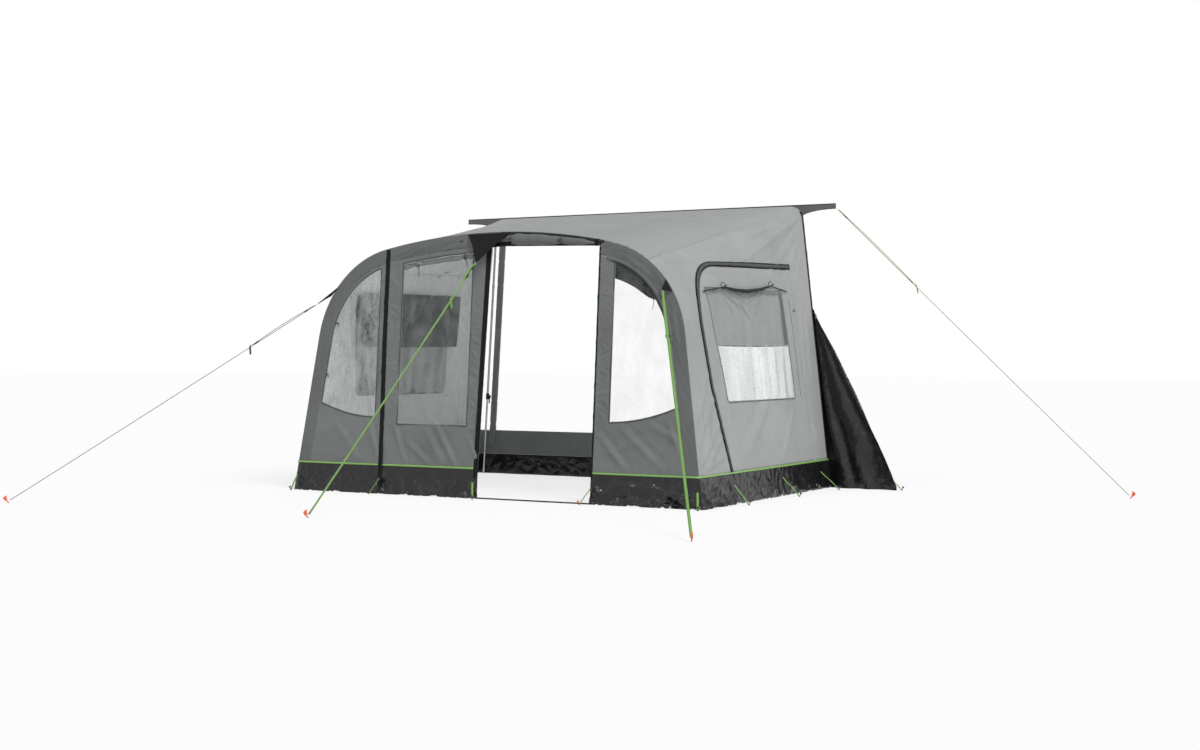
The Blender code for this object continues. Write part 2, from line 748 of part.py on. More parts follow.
def make_canopy():
    canopy_shell("roof_panel", ROOF_W, 1, "roof_cloth", FABRIC)
    door_cut = side_cutter("side_door_opening", side_door_outline())
    door_blank = side_cutter("side_door_blank", inset_outline(side_door_outline(HINGE_GAP), 2 * GAP))
    window = side_window_outline()
    window_cut = side_cutter("side_window_opening", window)
    window_blank = side_cutter("side_window_blank", inset_outline(window, GAP))
    for label, side in SIDES:
        wall = canopy_shell("side_wall_" + label, WALL_W, side, "side_cloth", FABRIC)
        boolean(wall, door_cut, "DIFFERENCE")
        door = canopy_shell("side_door_" + label, WALL_W, side, "side_cloth", FABRIC)
        boolean(door, door_blank, "INTERSECT")
        boolean(door, window_cut, "DIFFERENCE")
        pane = canopy_shell("side_door_window_" + label, WALL_W, side, "clear_film", FILM)
        boolean(pane, window_blank, "INTERSECT")
        canopy_shell("side_mud_wall_" + label, steps(3.0, 4.0, 2), side, "mud_sheet", FABRIC)
        make_side_curtain(label, side)


def from_rail(points, radii, segments):
    """A rounded outline, given by distances from the rail, as y and height and anticlockwise."""
    outline = round_corners([(RAIL_Y - distance, z) for distance, z in points], radii, segments)
    return outline if area_sign(outline) > 0 else outline[::-1]


def side_door_outline(hinge_gap=0.0):
    hinge = [(distance + hinge_gap, z) for distance, z in SIDE_DOOR_HINGE]
    return from_rail(list(SIDE_DOOR_FREE) + hinge, SIDE_DOOR_RADII, 8)


def side_window_outline():
    low, high = SIDE_WINDOW_Z
    corners = [(SIDE_WINDOW_FRONT[0], low), (SIDE_WINDOW_REAR[0], low),
               (SIDE_WINDOW_REAR[1], high), (SIDE_WINDOW_FRONT[1], high)]
    return from_rail(corners, [WINDOW_CORNER] * 4, 4)


def make_side_curtain(label, side):
    """The half-drawn curtain behind the side window: a rolled top edge over soft upright folds."""
    rows = 5
    columns = 56
    top_z = SIDE_WINDOW_Z[1] + 0.015
    fold_depth = 0.007
    curtain = bmesh.new()
    bmesh.ops.create_grid(curtain, x_segments=columns, y_segments=rows, size=0.5)
    for vert in curtain.verts:
        across = vert.co.x + 0.5
        down = vert.co.y + 0.5
        z = CURTAIN_LOW_Z + (top_z - CURTAIN_LOW_Z) * down
        front = SIDE_WINDOW_FRONT[0] + (SIDE_WINDOW_FRONT[1] - SIDE_WINDOW_FRONT[0]) * (z - SIDE_WINDOW_Z[0]) / 0.89
        distance = SIDE_WINDOW_REAR[0] + 0.03 + (front - 0.02 - SIDE_WINDOW_REAR[0] - 0.03) * across
        y = RAIL_Y - distance
        ripple = math.sin(across * math.tau * 7) + 0.5 * math.sin(across * math.tau * 3 + 1.0)
        amount = 0.020 + fold_depth * (1.1 + ripple) * (0.35 + 0.65 * (1.0 - down))
        place = wall_sheet_point(y, z)
        place.x -= amount
        place.x *= side
        vert.co = place
    mesh = bpy.data.meshes.new("curtain")
    if side > 0:
        bmesh.ops.reverse_faces(curtain, faces=curtain.faces)
    curtain.to_mesh(mesh)
    curtain.free()
    obj = add_part("side_door_curtain_" + label, mesh, "curtain_cloth")
    smooth(obj, 80.0)
    solidify = obj.modifiers.new("thickness", "SOLIDIFY")
    solidify.thickness = FABRIC
    solidify.offset = 0.0


def wall_sheet_point(y, z):
    """The canopy's outer face on the right at a given y and height, shoulder included."""
    low, high = 1.0, 4.0
    for _ in range(50):
        w = (low + high) / 2
        start = canopy_point(w, 0.0)
        end = canopy_point(w, 1.0)
        point = start.lerp(end, (y - start.y) / (end.y - start.y))
        if point.z > z:
            low = w
        else:
            high = w
    return point


# Front wall

def mirrored(path):
    return [(-x, z) for x, z in reversed(path)]


def window_outline_outer(clear_of_arch):
    """Window of an outer front panel on the right: upright inner edge, arched outside, swept-up sill."""
    profile = ARCH.inset(clear_of_arch)
    sill_outer = OUTER_WINDOW_SILL + OUTER_WINDOW_RISE
    top = [(OUTER_WINDOW_EDGE_X, profile.crown_z_at(OUTER_WINDOW_EDGE_X))]
    if OUTER_WINDOW_EDGE_X > profile.point(1.0)[0]:
        top = []
    arch = [p for p in half_arch(profile) if p[0] > OUTER_WINDOW_EDGE_X and p[1] > sill_outer]
    first = arch[0]
    foot_x = profile.half_base - profile.splay * sill_outer
    start = (OUTER_WINDOW_EDGE_X, first[1] + 0.25 * (first[0] - OUTER_WINDOW_EDGE_X))
    path = (top or [start]) + arch + [(foot_x, sill_outer)]
    width = foot_x - OUTER_WINDOW_EDGE_X
    sill = []
    for share in steps(1.0, 0.0, 6)[1:]:
        sill.append((OUTER_WINDOW_EDGE_X + width * share, OUTER_WINDOW_SILL + OUTER_WINDOW_RISE * share ** 2))
    outline = path + sill
    return outline[::-1]


def inner_window_outline():
    profile = ARCH.inset(INNER_WINDOW_INSET)
    low = INNER_WINDOW_SILL
    left, right = INNER_WINDOW_LEFT_X, INNER_WINDOW_RIGHT_X
    top = [(x, profile.crown_z_at(x)) for x in steps(right, left, 5)]
    return [(left, low), (right, low)] + top


def front_window(name, outline):
    front_sheet("front_window_" + name, [shrunk(outline)], "clear_film", FILM)


def header_z(x):
    """The doorway's head is cut straight, from its left corner to its right one."""
    return HEADER_LEFT_Z + (HEADER_RIGHT_Z - HEADER_LEFT_Z) * (x - DOOR_LEFT_X) / (DOOR_RIGHT_X - DOOR_LEFT_X)


def make_front():
    """Arch band, the three standing panels with their windows, and the mud wall with the sill strap."""
    outer = half_arch(ARCH.inset(FABRIC + GAP))
    inner = half_arch(ARCH.inset(BAND_WIDTH))
    edge_x = inner[-1][0]
    band = (mirrored(outer)[:-1] + outer + arch_span(inner, DOOR_RIGHT_X, edge_x)[::-1]
            + [(DOOR_RIGHT_X, header_z(DOOR_RIGHT_X)), (DOOR_LEFT_X, header_z(DOOR_LEFT_X))]
            + arch_span(inner, -edge_x, DOOR_LEFT_X)[::-1])
    front_sheet("front_arch_band", [band], "front_cloth")

    edge = half_arch(ARCH.inset(BAND_WIDTH + GAP))
    reach = edge[-1][0]
    low = MUD_TOP + GAP
    window = window_outline_outer(WINDOW_INSET)
    panel = arch_span(edge, DOOR_RIGHT_X, reach) + [(DOOR_RIGHT_X, low)]
    front_sheet("front_panel_right", [panel, window], "front_cloth")
    front_window("right", window)

    window = mirrored(window)
    panel = arch_span(edge, -reach, ZIP_X - GAP) + [(ZIP_X - GAP, low)]
    front_sheet("front_panel_outer_left", [panel, window], "front_cloth")
    front_window("outer_left", window)

    window = inner_window_outline()
    panel = arch_span(edge, ZIP_X + GAP, DOOR_LEFT_X) + [(DOOR_LEFT_LOW_X, low), (ZIP_X + GAP, low)]
    front_sheet("front_panel_inner_left", [panel, window], "front_cloth")
    front_window("inner_left", window)

    foot = ARCH.inset(FABRIC + GAP)
    base_x = foot.half_base
    top_x = foot.half_base - foot.splay * MUD_TOP
    mud = [(-base_x, HEM), (base_x, HEM), (top_x, MUD_TOP), (DOOR_RIGHT_X, MUD_TOP), (DOOR_RIGHT_X, STRAP_HEIGHT),
           (DOOR_LEFT_LOW_X, STRAP_HEIGHT), (DOOR_LEFT_LOW_X, MUD_TOP), (-top_x, MUD_TOP)]
    front_sheet("front_mud_wall", [mud], "mud_sheet")


def shrunk(outline):
    if area_sign(outline) < 0:
        outline = outline[::-1]
    return inset_outline(outline, GAP)


def front_place(x, z, depth):
    return front_matrix(depth) @ Vector((x, z * SLANT, 0.0))


ROLL_RADIUS = 0.040
ROLL_TOGGLES = (0.19, 0.66)
ROLL_OUT = 0.048


def pinch(x, toggles, width=0.045):
    return max(math.exp(-((x - toggle) / width) ** 2) for toggle in toggles)


def make_door_roll():
    """The doorway's panel, rolled up under the arch and pinched where its toggles hold it."""
    low_x = 0.155
    high_x = DOOR_RIGHT_X - 0.03
    points = []
    radii = []
    for x in steps(low_x, high_x, 30):
        hold = pinch(x, ROLL_TOGGLES)
        low, high = header_z(x) - 0.004 + 0.012 * hold, ARCH.crown_z_at(x) - 0.022
        points.append(front_place(x, (low + high) / 2, -ROLL_OUT))
        end_taper = min(1.0, 0.72 + 6.0 * min(x - low_x, high_x - x))
        radius = min(0.043, (high - low) / 2 * end_taper)
        radii.append(radius * (1.0 - 0.15 * hold) / ROLL_RADIUS)
    bent_tube("front_door_roll", points, ROLL_RADIUS, "front_cloth", radii, resolution=3)


def make_window_rolls():
    """The rolled curtain above the inner window and the tied-back curtain of the right window."""
    points = []
    radii = []
    toggles = (-0.78, -0.30)
    for x in steps(INNER_WINDOW_LEFT_X - 0.02, INNER_WINDOW_RIGHT_X + 0.02, 20):
        z = ARCH.crown_z_at(x) - BAND_WIDTH - 0.058
        points.append(front_place(x, z - 0.008 * (1 - pinch(x, toggles)), 0.027))
        radii.append(1.0 - 0.3 * pinch(x, toggles) + 0.06 * math.sin(40.0 * x))
    bent_tube("front_curtain_roll", points, 0.022, "dark_cloth", radii)

    line = ARCH.inset(WINDOW_INSET + 0.035)
    points = []
    radii = []
    tie_w = 1.62
    for w in steps(1.02, 2.25, 22):
        x, z = line.point(w)
        hold = math.exp(-((w - tie_w) / 0.06) ** 2)
        slack = math.sin(min(1.0, (w - 1.02) / (tie_w - 1.02)) * math.pi) * 0.045
        points.append(front_place(x - 0.6 * slack, z - 0.8 * slack, 0.040))
        swell = 1.0 if w < tie_w else 0.55
        radii.append(swell * (1.0 - 0.5 * hold) * (1.0 + 0.08 * math.sin(25.0 * w)))
    bent_tube("front_curtain_tieback", points, 0.030, "dark_cloth", radii)


# Rear edge: keder tape with its ears, draught pads, flaps and skirt

PAD_WIDTH = 0.060
PAD_THICKNESS = 0.022
PAD_FROM_UPRIGHT = 0.052
SKIRT_TOP = 0.415
FLAP_TOP_Z = 1.567
FLAP_REACH = 2.50
EAR_LOW_Z = 2.33
TAPE_HEIGHT = 0.040
BEAD_RADIUS = 0.0035


def rear_edge_x(z):
    return REAR_HALF - REAR.splay * z


def make_keder():
    """The tape and bead that slide into the rail, with an ear past each wall corner."""
    ear = [(EAR_HALF, RAIL_Z + 0.003), (EAR_HALF, RAIL_Z - TAPE_HEIGHT)]
    for share in steps(0.0, 1.0, 6)[1:]:
        x = EAR_HALF + (rear_edge_x(EAR_LOW_Z) - 0.02 - EAR_HALF) * math.sin(share * math.pi / 2)
        z = RAIL_Z - TAPE_HEIGHT - (RAIL_Z - TAPE_HEIGHT - EAR_LOW_Z) * (1.0 - math.cos(share * math.pi / 2))
        ear.append((x, z))
    ear.append((REAR_HALF_TOP - 0.05, RAIL_Z - TAPE_HEIGHT + 0.006))
    outline = ear + mirrored(ear)
    tape = rear_sheet("keder_strip", [outline[::-1]], "dark_cloth")
    bead = cylinder_mesh("bead", BEAD_RADIUS, (-EAR_HALF + 0.003, REAR_SHEET_Y + 0.001, RAIL_Z + 0.0045),
                         (EAR_HALF - 0.003, REAR_SHEET_Y + 0.001, RAIL_Z + 0.0045), 8)
    joined(tape, [add_cutter("keder_bead", bead)])


def make_draught_parts():
    """What closes the gaps to the wall: two pads, two wedge flaps and a skirt along the ground."""
    for label, side in SIDES:
        flap = [(rear_edge_x(0.0) + GAP, 0.0), (FLAP_REACH, 0.0), (FLAP_REACH, 0.030),
                (2.178, 0.700), (1.925, 1.170), (rear_edge_x(FLAP_TOP_Z) + GAP, FLAP_TOP_Z)]
        rear_sheet("draught_flap_" + label, [[(side * x, z) for x, z in flap]], "mud_sheet")
        make_pad(label, side)
    half = REAR_HALF - 0.004
    top = rear_edge_x(SKIRT_TOP) - 0.004
    skirt = [(-half, 0.0), (half, 0.0), (top, SKIRT_TOP), (-top, SKIRT_TOP)]
    rear_sheet("draught_skirt", [skirt], "foam_cloth")


def make_pad(label, side):
    """A foam pad beside the rear upright, pressed to the wall, with rounded edges."""
    low = upright_point(side, 0.26)
    top = upright_point(side, 2.25)
    inner = -side * (PAD_FROM_UPRIGHT + PAD_WIDTH / 2)
    shift = Vector((inner, 0, 0))
    half_w, half_t = PAD_WIDTH / 2, PAD_THICKNESS / 2
    section = round_corners([(-half_w, -half_t), (half_w, -half_t), (half_w, half_t), (-half_w, half_t)],
                            [0.009] * 4, 3)
    length = (top - low).length
    curve = flat_curve("pad", [section], length)
    up = (top - low).normalized()
    y_axis = Vector((0, 1, 0))
    matrix = Matrix((y_axis.cross(up), y_axis, up)).transposed().to_4x4()
    matrix.translation = (low + top) / 2 + shift + Vector((0, 0.0175, 0))
    bake_curve(add_part("draught_pad_" + label, curve, "foam_cloth", matrix))


# Guys

PATCHES = {
    "left": ((-1.500, 1.815), (-1.660, 1.630)),
    "center": ((-0.263, None), (0.172, None)),
    "right": ((1.581, 1.701), (1.659, 1.580)),
}


def patch_root(x, z):
    """A point on the front edge of the roof, just in front of the arch."""
    if z is None:
        z = ARCH.crown_z_at(x) - 0.006
    return front_place(x, z, -0.0022)


def make_patches():
    """Black webbing triangles that spread each guy's pull along the arch."""
    for label, (first, second) in PATCHES.items():
        a = patch_root(*first)
        b = patch_root(*second)
        tip = Vector(GUYS[label][0])
        normal = (b - a).cross(tip - a).normalized()
        x_axis = (b - a).normalized()
        y_axis = normal.cross(x_axis)
        matrix = Matrix((x_axis, y_axis, normal)).transposed().to_4x4()
        matrix.translation = a
        local = [(0.0, 0.0), ((b - a).length, 0.0)]
        end_x, end_y = (tip - a).dot(x_axis), (tip - a).dot(y_axis)
        local += [(end_x + 0.010, end_y - 0.012), (end_x - 0.010, end_y - 0.012)]
        curve = flat_curve("patch", [local], FABRIC)
        patch = add_part("guy_patch_" + label, curve, "dark_cloth", matrix)
        bake_curve(patch)


def guy_points(start, end):
    """A taut strap: nearly straight, with a few millimetres of sag."""
    start = Vector(start)
    end = Vector(end)
    points = []
    for share in steps(0.0, 1.0, GUY_POINTS - 1):
        point = start.lerp(end, share)
        point.z -= 4.0 * GUY_SAG * share * (1.0 - share)
        points.append(point)
    return points


def make_guys():
    for label, (start, end) in GUYS.items():
        along = (Vector(end) - Vector(start)).normalized()
        bent_tube("guy_strap_" + label, guy_points(Vector(start) + along * 0.012, Vector(end) - along * 0.012),
                  WEBBING_TUBE, "green_webbing")
        make_peg(label, Vector(end), along)


def make_peg(label, anchor, along):
    """The part of a ground peg above the ground: a steel rod that leans away and its moulded hook."""
    away = Vector((along.x, along.y, 0.0)).normalized()
    lean = (away * 0.75 + Vector((0, 0, 1.0))).normalized()
    base = anchor.copy()
    base.z = 0.004
    head_low = base + lean * 0.030
    head_high = base + lean * 0.058
    rod = bent_tube("ground_peg_" + label, [base, base + lean * 0.02, head_low + lean * 0.01], PEG_ROD_RADIUS,
                    "orange_plastic", resolution=2)
    rod = bake_curve(rod)
    head = bmesh.new()
    bmesh.ops.create_cube(head, size=1.0, matrix=Matrix.Diagonal((0.022, 0.012, 0.030, 1.0)))
    side_axis = lean.cross(away).normalized()
    frame = Matrix((side_axis.cross(lean), side_axis, lean)).transposed().to_4x4()
    frame.translation = (head_low + head_high) / 2
    bmesh.ops.transform(head, matrix=frame, verts=head.verts)
    hook = bmesh.ops.create_cube(head, size=1.0, matrix=Matrix.Diagonal((0.030, 0.012, 0.009, 1.0)))
    nose = frame.copy()
    nose.translation = head_high - away * 0.008
    bmesh.ops.transform(head, matrix=nose, verts=hook["verts"])
    mesh = bpy.data.meshes.new("peg_head")
    head.to_mesh(mesh)
    head.free()
    head_solid = add_cutter("peg_head_" + label, mesh)
    modifier = boolean(rod, head_solid, "UNION")
    modifier.use_self = True


def main():
    clear_scene()
    make_crown_parts()
    for label, side in SIDES:
        make_upright(label, side)
        make_clamp(label, side)
        make_roof_pole(label, side)
    make_canopy()
    make_front()
    make_door_roll()
    make_window_rolls()
    make_keder()
    make_draught_parts()
    make_patches()
    make_guys()
    parts = collection_of("porch_awning").objects
    print("parts:", len(parts))


main()
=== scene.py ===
# %% [markdown]
# # An arched porch awning
#
# The awning hangs on the rail of a wall by its rear edge and stands on a light pole frame. Almost
# everything that shows is cloth or film, so this scene is mostly about sheets: how they are cut,
# where they are sewn, and where they pull into folds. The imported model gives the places, and every
# sheet here takes the place of its plain solid there.

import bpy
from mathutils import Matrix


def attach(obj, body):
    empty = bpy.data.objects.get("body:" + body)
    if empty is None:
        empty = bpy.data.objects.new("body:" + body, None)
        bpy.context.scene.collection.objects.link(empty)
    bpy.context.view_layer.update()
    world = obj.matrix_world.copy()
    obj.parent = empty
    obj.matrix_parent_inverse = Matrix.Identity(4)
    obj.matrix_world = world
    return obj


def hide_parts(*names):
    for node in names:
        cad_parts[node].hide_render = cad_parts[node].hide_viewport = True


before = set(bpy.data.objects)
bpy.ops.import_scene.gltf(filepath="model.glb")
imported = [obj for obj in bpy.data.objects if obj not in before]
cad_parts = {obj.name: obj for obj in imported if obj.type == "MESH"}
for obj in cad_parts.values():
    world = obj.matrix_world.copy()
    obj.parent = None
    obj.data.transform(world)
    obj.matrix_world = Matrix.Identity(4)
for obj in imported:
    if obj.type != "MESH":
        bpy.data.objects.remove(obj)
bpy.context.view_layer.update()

import math

import bmesh
import bpy
from mathutils import Matrix, Vector, noise

# %% [markdown]
# ## The sizes that the sheets are cut to
#
# The canopy is a ruled surface: straight threads run from the leaning front arch back to the rail.
# Both ends of it are described in the same way, as a crown arc, a shoulder arc and a straight leg, so
# one number w names a thread and one number v says how far back a point lies on it.

# %% Sizes of the awning
FRONT_Y = -1.2694
RAIL_Y = 1.2806
RAIL_Z = 2.44
LEAN = 0.075
SLANT = math.hypot(1.0, LEAN)
MUD_TOP = 0.24
SEAM_W = 1.35
BAND_WIDTH = 0.12
ZIP_X = -1.045
DOOR_LEFT_X = -0.022
DOOR_LEFT_LOW_X = -0.070
DOOR_RIGHT_X = 0.98
HEADER_LEFT_Z = 2.017
HEADER_RIGHT_Z = 1.993
CLOTH = 0.0008
VINYL = 0.0012
WEBBING = 0.0015
GROUND_GAP = 0.0006
CURTAIN_HEM_Z = 1.215
CURTAIN_TOP_Z = 1.685
SKIRT_TOP_Z = 0.415
SIDES = (("left", -1), ("right", 1))


class Profile:
    """Right half of the canopy's section: w is 0 to 1 on the crown, to 2 on the shoulder, to 3 on the leg."""

    def __init__(self, half_base, top, crown_radius, corner_radius, splay):
        self.half_base, self.splay = half_base, splay
        self.crown_radius, self.corner_radius, self.top = crown_radius, corner_radius, top
        self.crown_low = top - crown_radius
        reach = half_base - corner_radius * math.hypot(1.0, splay)
        qa = 1.0 + splay * splay
        qb = -2.0 * reach * splay - 2.0 * self.crown_low
        qc = reach * reach + self.crown_low ** 2 - (crown_radius - corner_radius) ** 2
        self.corner_z = (-qb + math.sqrt(qb * qb - 4.0 * qa * qc)) / (2.0 * qa)
        self.corner_x = reach - splay * self.corner_z
        self.crown_angle = math.atan2(self.corner_x, self.corner_z - self.crown_low)
        self.leg_angle = math.pi / 2 - math.atan(splay)
        self.leg_top = self.corner_z + corner_radius * math.cos(self.leg_angle)

    def inset(self, distance):
        """The same section, moved inwards by a distance."""
        return Profile(self.half_base - distance * math.hypot(1.0, self.splay), self.top - distance,
                       self.crown_radius - distance, self.corner_radius - distance, self.splay)

    def point(self, w):
        side = -1.0 if w < 0 else 1.0
        w = abs(w)
        if w <= 1.0:
            angle = self.crown_angle * w
            return (side * self.crown_radius * math.sin(angle),
                    self.crown_low + self.crown_radius * math.cos(angle))
        if w <= 2.0:
            angle = self.crown_angle + (self.leg_angle - self.crown_angle) * (w - 1.0)
            return (side * (self.corner_x + self.corner_radius * math.sin(angle)),
                    self.corner_z + self.corner_radius * math.cos(angle))
        if w <= 3.0:
            z = self.leg_top + (MUD_TOP - self.leg_top) * (w - 2.0)
        else:
            z = MUD_TOP * (4.0 - w)
        return side * (self.half_base - self.splay * z), z

    def crown_z(self, x):
        """Height of the arch at an x, on the crown, the shoulder or the leg."""
        x = abs(x)
        if x <= self.point(1.0)[0]:
            return self.crown_low + math.sqrt(self.crown_radius ** 2 - x * x)
        if x <= self.point(2.0)[0]:
            return self.corner_z + math.sqrt(max(0.0, self.corner_radius ** 2 - (x - self.corner_x) ** 2))
        return (self.half_base - x) / self.splay

    def depth(self, x, z):
        """How far inside the arch a point of its plane lies."""
        x = abs(x)
        from_corner = Vector((x - self.corner_x, z - self.corner_z))
        leg = (self.half_base - self.splay * z - x) / math.hypot(1.0, self.splay)
        angle = math.atan2(from_corner.x, from_corner.y)
        if angle < self.crown_angle:
            return self.crown_radius - math.hypot(x, z - self.crown_low)
        if angle < self.leg_angle:
            return self.corner_radius - from_corner.length
        return leg


ARCH = Profile(1.95, 2.13, 5.4, 0.85, 0.15)
REAR = Profile(1.88, RAIL_Z, 400.0, 0.12, 0.28 / RAIL_Z)


def steps(start, end, count):
    return [start + (end - start) * i / count for i in range(count + 1)]


def canopy(w, v):
    """A point of the canopy's outer face: v is 0 at the front arch and 1 at the rail."""
    front_x, front_z = ARCH.point(w)
    rear_x, rear_z = REAR.point(w)
    front = Vector((front_x, FRONT_Y + LEAN * front_z, front_z))
    return front.lerp(Vector((rear_x, RAIL_Y - 0.003, rear_z)), v)


def wall_point(y, z):
    """The canopy's outer face on the right at a given y and height."""
    low, high = 1.0, 4.0
    for _ in range(30):
        w = (low + high) / 2
        start, end = canopy(w, 0.0), canopy(w, 1.0)
        point = start.lerp(end, (y - start.y) / (end.y - start.y))
        low, high = (w, high) if point.z > z else (low, w)
    return point


FRONT_FRAME = Matrix.Translation((0, FRONT_Y, 0)) @ Matrix.Rotation(math.pi / 2 - math.atan(LEAN), 4, "X")


def front_place(x, z, out=0.0):
    """A point of the leaning front wall, given by x and height and how far it stands out."""
    return FRONT_FRAME @ Vector((x, z * SLANT, out))


print("arch: corner centre", round(ARCH.corner_x, 3), round(ARCH.corner_z, 3))

# %% [markdown]
# ## The camera
#
# The camera stands where the picture was taken from, a little to the right of the awning and at chest
# height. Its place and its lens were worked out from the straight lines and corners in the picture.

# %% Camera
CAMERA_PLACE = (8.034, -13.026, 1.188)
CAMERA_TURN = math.radians(30.64)
CAMERA_TILT = math.radians(-0.81)
FOCAL_PIXELS = 1791.0
PICTURE_WIDTH = 1200.0
SENSOR_WIDTH = 36.0

camera_data = bpy.data.cameras.new("photo_camera")
camera_data.sensor_width = SENSOR_WIDTH
camera_data.lens = FOCAL_PIXELS / PICTURE_WIDTH * SENSOR_WIDTH
camera_data.clip_end = 200.0
camera = bpy.data.objects.new("photo_camera", camera_data)
camera.matrix_world = (Matrix.Translation(CAMERA_PLACE) @ Matrix.Rotation(CAMERA_TURN, 4, "Z")
                       @ Matrix.Rotation(math.pi / 2 + CAMERA_TILT, 4, "X"))
bpy.context.scene.collection.objects.link(camera)
bpy.context.scene.camera = camera
print("lens", round(camera_data.lens, 2), "mm")

# %% [markdown]
# ## Materials
#
# The body is coated polyester: a plain weave, painted on its back, so it is matt with a faint sheen and
# small creases from the bag. The front is a darker grey than the roof and the sides. Threads are half a
# millimetre apart, too fine for this picture, so the weave is drawn at three millimetres, where it only
# breaks the light up a little.

# %% A node helper and the colours
def linear(hex_colour):
    """An sRGB hex colour as the linear values that shaders work with."""
    values = [int(hex_colour[i:i + 2], 16) / 255 for i in (0, 2, 4)]
    return [v / 12.92 if v <= 0.04045 else ((v + 0.055) / 1.055) ** 2.4 for v in values] + [1.0]


def add_node(tree, kind, settings=None, sockets=None):
    """Adds a shader node, sets its properties, and sets or links its input sockets."""
    node = tree.nodes.new("ShaderNode" + kind)
    for name, value in (settings or {}).items():
        setattr(node, name, value)
    for name, value in (sockets or {}).items():
        if isinstance(value, bpy.types.NodeSocket):
            tree.links.new(value, node.inputs[name])
        else:
            node.inputs[name].default_value = value
    return node


def start_material(name, **values):
    """A material with its Principled shader, whose constant sockets are set directly."""
    material = bpy.data.materials.new(name)
    material.use_nodes = True
    tree = material.node_tree
    shader = tree.nodes["Principled BSDF"]
    for socket, value in values.items():
        shader.inputs[socket.replace("_", " ")].default_value = value
    return material, tree, shader


RGBA = {"data_type": "RGBA"}
MULTIPLY_ADD = {"operation": "MULTIPLY_ADD"}
TO_EDGE = {"feature": "DISTANCE_TO_EDGE"}


def woven_cloth(name, base_hex, dark_hex, roughness, thread=0.003, crease=0.5, sheen=0.1, weave=0.25,
                gloss=0.2, sides_hex=None):
    """Coated woven cloth: threads along the piece's own UV in metres, soft mottling and bag creases.

    Where sides_hex is given, the colour turns to it from the ridge out to the sides; the ridge's darker grey
    is painted shade.
    """
    material, tree, shader = start_material(name, Roughness=roughness, Sheen_Weight=sheen,
                                            Sheen_Roughness=0.5, Specular_IOR_Level=gloss)
    uv = add_node(tree, "UVMap").outputs["UV"]
    place = add_node(tree, "TexCoord").outputs["Object"]
    mottle = add_node(tree, "TexNoise", sockets={"Vector": place, "Scale": 2.6, "Detail": 5.0,
                                                 "Roughness": 0.6})
    fine = add_node(tree, "TexNoise", sockets={"Vector": place, "Scale": 90.0, "Detail": 3.0})
    both = add_node(tree, "Math", MULTIPLY_ADD, {0: fine.outputs["Fac"], 1: 0.35, 2: mottle.outputs["Fac"]})
    ramp = add_node(tree, "MapRange", sockets={"Value": both.outputs[0], "From Min": 0.45, "From Max": 0.95})
    colour = add_node(tree, "Mix", RGBA, {"Factor": ramp.outputs["Result"], "A": linear(dark_hex),
                                          "B": linear(base_hex)})
    if sides_hex:
        apart = add_node(tree, "SeparateXYZ", sockets={"Vector": place})
        off = add_node(tree, "Math", {"operation": "ABSOLUTE"}, {0: apart.outputs["X"]})
        near = add_node(tree, "MapRange", sockets={"Value": off.outputs[0], "From Min": 0.9, "From Max": 1.6})
        colour = add_node(tree, "Mix", RGBA, {"Factor": near.outputs["Result"], "A": colour.outputs["Result"],
                                              "B": linear(sides_hex)})
    tree.links.new(colour.outputs["Result"], shader.inputs["Base Color"])
    threads = []
    for direction in ("X", "Y"):
        wave = add_node(tree, "TexWave", {"bands_direction": direction},
                        {"Vector": uv, "Scale": math.tau / (20.0 * thread), "Distortion": 0.6})
        threads.append(wave.outputs["Fac"])
    weft = add_node(tree, "Math", {"operation": "MAXIMUM"}, {0: threads[0], 1: threads[1]})
    creases = add_node(tree, "TexVoronoi", TO_EDGE, {"Vector": place, "Scale": 7.0})
    soft = add_node(tree, "MapRange", sockets={"Value": creases.outputs["Distance"], "From Max": 0.12})
    rumple = add_node(tree, "TexNoise", sockets={"Vector": place, "Scale": 14.0, "Detail": 6.0,
                                                 "Roughness": 0.55})
    worn = add_node(tree, "Math", MULTIPLY_ADD, {0: soft.outputs["Result"], 1: 0.25,
                                                 2: rumple.outputs["Fac"]})
    coarse = add_node(tree, "Bump", sockets={"Height": worn.outputs[0], "Strength": crease,
                                             "Distance": 0.006})
    bump = add_node(tree, "Bump", sockets={"Height": weft.outputs[0], "Strength": weave, "Distance": 0.0006,
                                           "Normal": coarse.outputs["Normal"]})
    tree.links.new(bump.outputs["Normal"], shader.inputs["Normal"])
    return material


FRONT_CLOTH = woven_cloth("coated_polyester_front", "747776", "666968", 0.70, crease=0.45)
BAND_CLOTH = woven_cloth("coated_polyester_arch_band", "686A6A", "5B5D5D", 0.70, crease=0.45)
SIDE_CLOTH = woven_cloth("coated_polyester_side", "9C9E9D", "8F9190", 0.70, crease=0.35)
# The roof is the sides' cloth; its darker grey, which fades towards the sides, is painted shade.
ROOF_CLOTH = woven_cloth("coated_polyester_roof_painted_shade", "939594", "878988", 0.70, crease=0.35, sides_hex="979998")
PALE_LINING = woven_cloth("pale_coated_lining", "E4E6E5", "D8DAD9", 0.75, crease=0.35)
CURTAIN_CLOTH = woven_cloth("soft_curtain_cloth", "919393", "858787", 0.85, crease=0.35)
# Dark cloth for the side windows' rolled covers and the curtains' inner face: painted shade.
PAINTED_SHADE_CLOTH = woven_cloth("painted_shade_cloth", "343536", "282929", 0.8, sheen=0.03, gloss=0.1)
# The tied curtain's near-black is painted shade: it hangs in shade behind the right window.
TIED_CURTAIN_PAINTED_SHADE = woven_cloth("tied_curtain_cloth_painted_shade", "202121", "171818", 0.85, sheen=0.02, gloss=0.1)
